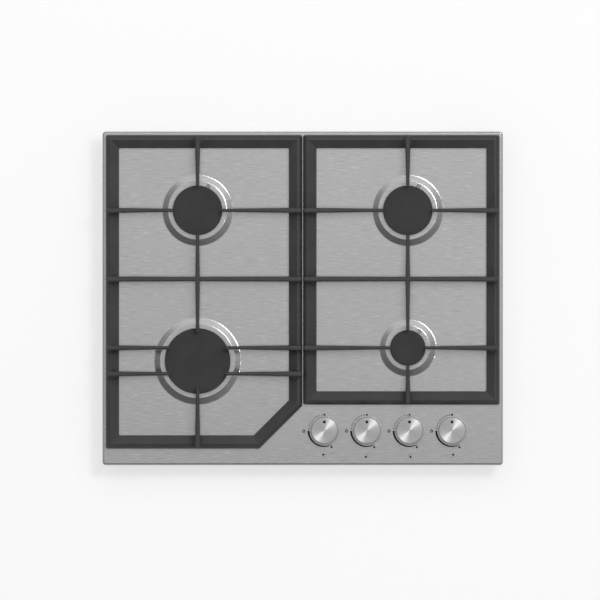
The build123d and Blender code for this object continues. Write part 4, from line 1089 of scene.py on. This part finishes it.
@dataclass
class ControlMarks(SubAssembly):
    """The marks printed round each knob: an off dot, steps, a wedge, two flames and a burner map."""

    plate_top: float = 60.0 * MM
    sunk: float = 0.02 * MM
    film: float = 0.05 * MM
    film_edge: float = 0.004 * MM
    dot_circle: float = 23.6 * MM
    dot_sides: int = 20
    off_dot: float = 1.6 * MM
    step_dot: float = 0.9 * MM
    steps: int = 8
    step_angles: Point = (99.5, 171.5)
    wedge_circle: float = 23.8 * MM
    wedge_width: float = 2.9 * MM
    wedge_angles: Point = (181.0, 300.0)
    wedge_taper: float = 0.4
    wedge_tip: float = 0.03 * MM
    wedge_parts: int = 60
    # Each flame's middle: its distance from the knob's axis, and its angle.
    large_flame: Point = (30.9 * MM, 180.0)
    small_flame: Point = (26.7 * MM, 294.0)
    flame_heights: Point = (6.4 * MM, 4.4 * MM)
    # Width, belly and outline of a flame one unit high.
    flame_width: float = 0.76
    flame_belly: float = -0.16
    flame_shape: ClassVar[tuple[Point, ...]] = (
        (0.0, -0.5), (0.2, -0.46), (0.34, -0.33), (0.38, -0.14), (0.33, 0.04), (0.24, 0.14), (0.2, 0.02),
        (0.15, 0.2), (0.05, 0.36), (-0.07, 0.5), (-0.06, 0.32), (-0.14, 0.17), (-0.27, 0.02),
        (-0.35, -0.14), (-0.33, -0.32), (-0.2, -0.46),
    )
    line: float = 1.3 * MM
    map_y: float = -235.8 * MM
    map_side: float = 3.3 * MM
    # A plain dot and the dot of the knob's own burner, and where that is on each knob's map.
    map_dots: Point = (0.55 * MM, 1.6 * MM)
    active: tuple[Point, ...] = ((-1, 1), (-1, -1), (1, -1), (1, 1))

    def knob_places(self) -> list[Point]:
        """The knobs' axes."""
        return [(KNOB_FIRST_X + KNOB_PITCH * index, KNOB_ROW_Y) for index in range(len(self.active))]

    def around(self, centre: Point, radius: float, angle: float) -> Point:
        """A point at a radius and an angle in degrees."""
        turn = math.radians(angle)
        return centre[0] + radius * math.cos(turn), centre[1] + radius * math.sin(turn)

    def dots(self, centre: Point, active: Point) -> list[tuple[Place, float]]:
        """Every round mark of one knob.

        Args:
            centre: The knob's axis.
            active: The map's corner that stands for its burner.

        Returns:
            The place and the radius of each dot.
        """
        first, last = self.step_angles
        marks = [(self.around(centre, self.dot_circle, 90.0), self.off_dot)]
        for step in range(self.steps):
            angle = first + (last - first) * step / (self.steps - 1)
            marks.append((self.around(centre, self.dot_circle, angle), self.step_dot))
        for corner in ((-1, -1), (-1, 1), (1, -1), (1, 1)):
            x, y = (middle + way * self.map_side / 2 for middle, way in zip((centre[0], self.map_y), corner))
            marks.append(((x, y), self.map_dots[corner == active]))
        level = self.plate_top + (self.film - self.sunk) / 2
        return [((x, y, level), radius) for (x, y), radius in marks]

    def wedge(self, shape: BMesh, centre: Point) -> None:
        """Add one wedge that thins along its arc.

        Args:
            shape: The bmesh that takes it.
            centre: The knob's axis.
        """
        start, end = self.wedge_angles
        outer, inner = [], []
        for part in range(self.wedge_parts + 1):
            share = part / self.wedge_parts
            half = self.wedge_width / 2 * (1 - share) ** self.wedge_taper + self.wedge_tip
            angle = start + (end - start) * share
            outer.append(self.around(centre, self.wedge_circle + half, angle))
            inner.append(self.around(centre, self.wedge_circle - half, angle))
        add_band(shape, outer, inner, self.plate_top - self.sunk, self.plate_top + self.film, False)

    def flame_outline(self, centre: Point, height: float, grow: float = 1.0) -> list[Point]:
        """A flame with one curled tip, counter-clockwise.

        Args:
            centre: Its middle.
            height: Its height.
            grow: Scale about its belly, for an inner line.

        Returns:
            Its outline.
        """
        (middle_x, middle_y), belly = centre, self.flame_belly
        return [
            (middle_x + x * grow * height, middle_y + (belly + (y - belly) * grow) * height)
            for x, y in self.flame_shape
        ]

    def flames(self, shape: BMesh, centre: Point) -> None:
        """Add the outlined large flame and the solid small flame.

        Args:
            shape: The bmesh that takes them.
            centre: The knob's axis.
        """
        low, high = self.plate_top - self.sunk, self.plate_top + self.film
        large, small = (self.around(centre, *spot) for spot in (self.large_flame, self.small_flame))
        height, small_height = self.flame_heights
        inner = self.flame_outline(large, height, 1 - 2 * self.line / (self.flame_width * height))
        add_band(shape, self.flame_outline(large, height), inner, low, high, True)
        add_plate(shape, self.flame_outline(small, small_height), low, high)

    def build(self) -> None:
        """Print every mark."""
        knobs = self.knob_places()
        marks = [mark for place in zip(knobs, self.active) for mark in self.dots(*place)]
        points = point_mesh("dots", *zip(*marks))
        sizes = {"Sides": self.dot_sides, "Height": self.film + self.sunk, "Edge": self.film_edge}
        new_piece("scale_dots", HOB, pellet_tree(PRINT).grow("scale_dots", points, sizes))
        for name, method in (("heat_wedges", self.wedge), ("flame_signs", self.flames)):
            shape = bmesh.new()
            for centre in knobs:
                method(shape, centre)
            new_piece(name, HOB, finished_mesh(name, shape), PRINT)


@dataclass
class Knob(SubAssembly):
    """One knob on its spindle, with its tap and the spring that it is pressed against."""

    x: float = KNOB_FIRST_X
    y: float = KNOB_ROW_Y
    dot_at: float = 12.8 * MM
    dot_radius: float = 2.22 * MM
    dimple: float = 84.5 * MM
    flat: float = 0.98
    crown: float = 0.24 * MM
    # Shares of the dot's radius, and how far the paint lies below its crown there.
    crown_line: ClassVar[tuple[Point, ...]] = (
        (1.0, 0.1 * MM), (0.96, 0.05 * MM), (0.8, 0.015 * MM), (0.4, 0.0),
    )
    spring_low: float = 38.0 * MM
    spring_high: float = 45.7 * MM
    spring_radius: float = 4.75 * MM
    wire: float = 0.62 * MM
    wire_sides: int = 10
    coils: float = 4.0
    pressed_share: float = 0.5
    coats: ClassVar[dict[str, Finish]] = {
        "spindle": SPINDLE_STEEL, "valve_plug": PLUG_BRASS, "valve_body": VALVE_BRASS,
    }

    def spring(self) -> None:
        """Wind the spring, which rides on the tap's rotor in place of the frame's own spring."""
        pitch = (self.spring_high - self.spring_low - 2 * self.wire) / self.coils
        spring = Winding(self.spring_radius, pitch, self.coils, self.wire, self.wire_sides)
        name, foot = self.called("spring"), (self.x, self.y, self.spring_low)
        mesh = spring.mesh(name, SPRING_WIRE, [(self.x, self.y, self.spring_low + self.wire)])
        piece = new_piece(name, self.called("valve_rotor"), mesh)
        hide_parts(self.called("valve_spring"))
        self.called("press")
        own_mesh(piece)

    def build(self) -> None:
        """Wind the spring, and fill the pointer's dimple with paint that is hollow at its edge."""
        self.spring()
        shape = bmesh.new()
        top = self.dimple + self.crown
        profile = [(0.0, self.dimple), (self.dot_radius, self.dimple)]
        profile += [(self.dot_radius * share, top - drop) for share, drop in self.crown_line]
        add_turned(shape, [*profile, (0.0, top)], self.x, self.y + self.dot_at)
        name = self.called("pointer_dot")
        new_piece(name, self.called("knob_and_spindle"), finished_mesh(name, shape), DOT_PAINT)

    def dress(self) -> None:
        """Finish the knob, whose face is spun, its spindle and its tap."""
        paint(self.called("knob"), KNOB_WALL, SPUN, choose=lambda middle, normal: int(normal.z > self.flat))
        super().dress()


@dataclass
class Burner(SubAssembly):
    """One burner: cap, spreader, cup and supply tube."""

    coats: ClassVar[dict[str, Finish]] = {
        "burner_cap": CAP_ENAMEL, "flame_spreader": SPREADER_CAST, "burner_cup": CUP_CAST,
        "supply_tube": TUBE_METAL,
    }


@dataclass
class Probes(SubAssembly):
    """Electrodes and thermocouples beside the burners, and what leads to them."""

    insulator_top: float = 66.0 * MM
    margin: float = 0.01 * MM
    coats: ClassVar[dict[str, Finish]] = {
        "thermocouples": PROBE_STEEL, "spark_leads": LEAD_SLEEVE, "thermocouple_leads": COPPER,
        "injectors": PLUG_BRASS, "cup_screws": PLATED,
    }

    def dress(self) -> None:
        """Finish them; an electrode's pin is steel above its insulator."""
        level = self.insulator_top + self.margin
        paint("spark_electrodes", INSULATOR, PIN_STEEL, choose=lambda middle, normal: int(middle.z > level))
        super().dress()


@dataclass
class PanSupport(SubAssembly):
    """One cast pan support on its feet."""

    coats: ClassVar[dict[str, Finish]] = {"pan_support": SUPPORT_ENAMEL, "support_feet": FEET_RUBBER}


@dataclass
class BurnerBox(SubAssembly):
    """The tray under the plate, with its clamps."""

    coats: ClassVar[dict[str, Finish]] = {
        "burner_box": BOX_ZINC, "clamp_brackets": CLAMP_ZINC, "bracket_screws": PLATED,
        "knob_seals": BUSH_RUBBER,
    }


@dataclass
class GasSupply(SubAssembly):
    """Rail and inlet fitting."""

    inlet_face: Place = (262.0 * MM, 210.2 * MM, 18.0 * MM)
    thread: Winding = Winding.thread(radius=10.2 * MM, pitch=1.814 * MM, turns=6.6)
    coats: ClassVar[dict[str, Finish]] = {"gas_rail": RAIL_STEEL, "gas_inlet_fitting": FITTING_BRASS}

    def build(self) -> None:
        """Wind the pipe thread on the inlet, which points to the back."""
        mesh = self.thread.mesh("inlet_thread", FITTING_BRASS, [(0.0, 0.0, 0.0)])
        mesh.transform(Matrix.Translation(self.inlet_face) @ Matrix.Rotation(math.radians(-90), 4, "X"))
        new_piece("inlet_thread", HOB, mesh)


@dataclass
class Electrics(SubAssembly):
    """Ignition module, switches, terminal block and their leads."""

    coats: ClassVar[dict[str, Finish]] = {
        "ignition_module": MODULE_PLASTIC, "ignition_switches": SWITCH_PLASTIC,
        "terminal_block": BLOCK_PLASTIC, "cable_grommet": BUSH_RUBBER, "control_leads": LEAD_SLEEVE,
    }


# --- Studio -----------------------------------------------------------------------------------
@dataclass(frozen=True)
class Softbox:
    """An area lamp."""

    name: str
    place: Place
    looks_at: Place
    sides: Point
    radiance: float

    def build(self) -> None:
        """Hang the lamp."""
        lamp = bpy.data.lights.new(self.name, "AREA")
        lamp.shape = "RECTANGLE"
        lamp.size, lamp.size_y = self.sides
        lamp.energy = self.radiance * math.pi * self.sides[0] * self.sides[1]
        holder = bpy.data.objects.new(self.name, lamp)
        holder.location = self.place
        holder.rotation_mode = "QUATERNION"
        holder.rotation_quaternion = (Vector(self.looks_at) - Vector(self.place)).to_track_quat("-Z", "Y")
        holder.visible_camera = False
        bpy.context.scene.collection.objects.link(holder)


@dataclass(frozen=True)
class Surroundings:
    """The studio: pale ground and walls, and above them dimmer ones, darkest at the front left."""

    ambient: float = 0.27
    ground: float = 0.97
    pale: float = 0.8
    upper: float = 0.43
    sway: Point = (0.22, 0.44)
    horizon: Point = (-0.06, 0.12)
    band: Point = (0.6, 0.78)

    def build(self) -> None:
        """Make the world."""
        world = bpy.data.worlds.new("surroundings")
        tree = ShaderTree(world)
        x, y, z = (tree.axis(index, "Generated") for index in range(3))
        above = self.upper + x * self.sway[0] + y * self.sway[1]
        low = self.ground + (self.pale - self.ground) * z.step(*self.horizon)
        walls = low + (above - low) * z.step(*self.band)
        level = self.ambient + (walls - self.ambient) * tree.seen()
        light = tree.node("ShaderNodeBackground", {}, {"Color": (1.0, 1.0, 1.0), "Strength": level})
        tree.node("ShaderNodeOutputWorld", {}, {"Surface": light.outputs[0]})
        bpy.context.scene.world = world


@dataclass
class Studio:
    """Pale floor, soft lamps and a camera straight above, as in the photograph."""

    floor_radius: float = 9.0
    floor_parts: int = 96
    tray_sides: Point = (547.0 * MM, 457.0 * MM)
    tray_notch: Point = (50.5 * MM, 40.5 * MM)
    floor_colour: Colour = (0.62, 0.62, 0.62)
    view_centre: Point = (-4.0 * MM, -2.4 * MM)
    view_width: float = 0.899
    camera_height: float = 6.0
    lamps: tuple[Softbox, ...] = (
        Softbox("overhead", (0.25, 1.54, 3.4), (0.25, 1.54, 0.0), (4.1, 3.8), 0.72),
        Softbox("key", (1.8, 1.8, 6.8), (0.0, 0.0, 0.0), (1.3, 1.3), 17.0),
    )

    def floor(self) -> None:
        """Lay the floor, open under the tray that stands on it."""
        shape = bmesh.new()
        bmesh.ops.create_circle(shape, segments=self.floor_parts, radius=self.floor_radius)
        right, back = (side / 2 for side in self.tray_sides)
        step_x, step_y = right - self.tray_notch[0], back - self.tray_notch[1]
        outline = [
            (-right, -back), (right, -back), (right, step_y),
            (step_x, step_y), (step_x, back), (-right, back),
        ]
        corners = [shape.verts.new((x, y, 0.0)) for x, y in outline]
        for first, second in zip(corners, corners[1:] + corners[:1]):
            shape.edges.new((first, second))
        bmesh.ops.triangle_fill(shape, use_beauty=True, edges=shape.edges[:], normal=(0.0, 0.0, 1.0))
        mesh = plain_mesh("floor", shape)
        mesh.materials.append(PaleFloor("pale_floor", self.floor_colour).material())
        floor = bpy.data.objects.new("floor", mesh)
        bpy.context.scene.collection.objects.link(floor)

    def camera(self) -> None:
        """Hang the camera over the hob's middle."""
        scene = bpy.context.scene
        lens = bpy.data.cameras.new("camera")
        lens.type = "ORTHO"
        lens.ortho_scale = self.view_width
        camera = bpy.data.objects.new("camera", lens)
        camera.location = (*self.view_centre, self.camera_height)
        scene.collection.objects.link(camera)
        scene.camera = camera
        scene.view_settings.view_transform = "Standard"

    def build(self) -> None:
        """Set up floor, lamps, surroundings and camera."""
        self.floor()
        for lamp in self.lamps:
            lamp.build()
        Surroundings().build()
        self.camera()


def main() -> None:
    """Build and dress the whole hob."""
    logging.basicConfig(level=logging.INFO, format="%(name)s: %(message)s")
    Studio().build()
    marks = ControlMarks()
    assemblies: list[SubAssembly] = [TopPlate(), marks]
    for corner, place in zip(Corner, marks.knob_places()):
        assemblies += [Knob(corner, *place), Burner(corner)]
    assemblies += [Probes(), *(PanSupport(side) for side in Side), BurnerBox(), GasSupply(), Electrics()]
    for assembly in assemblies:
        assembly.build()
        assembly.dress()


if __name__ == "__main__":
    main()
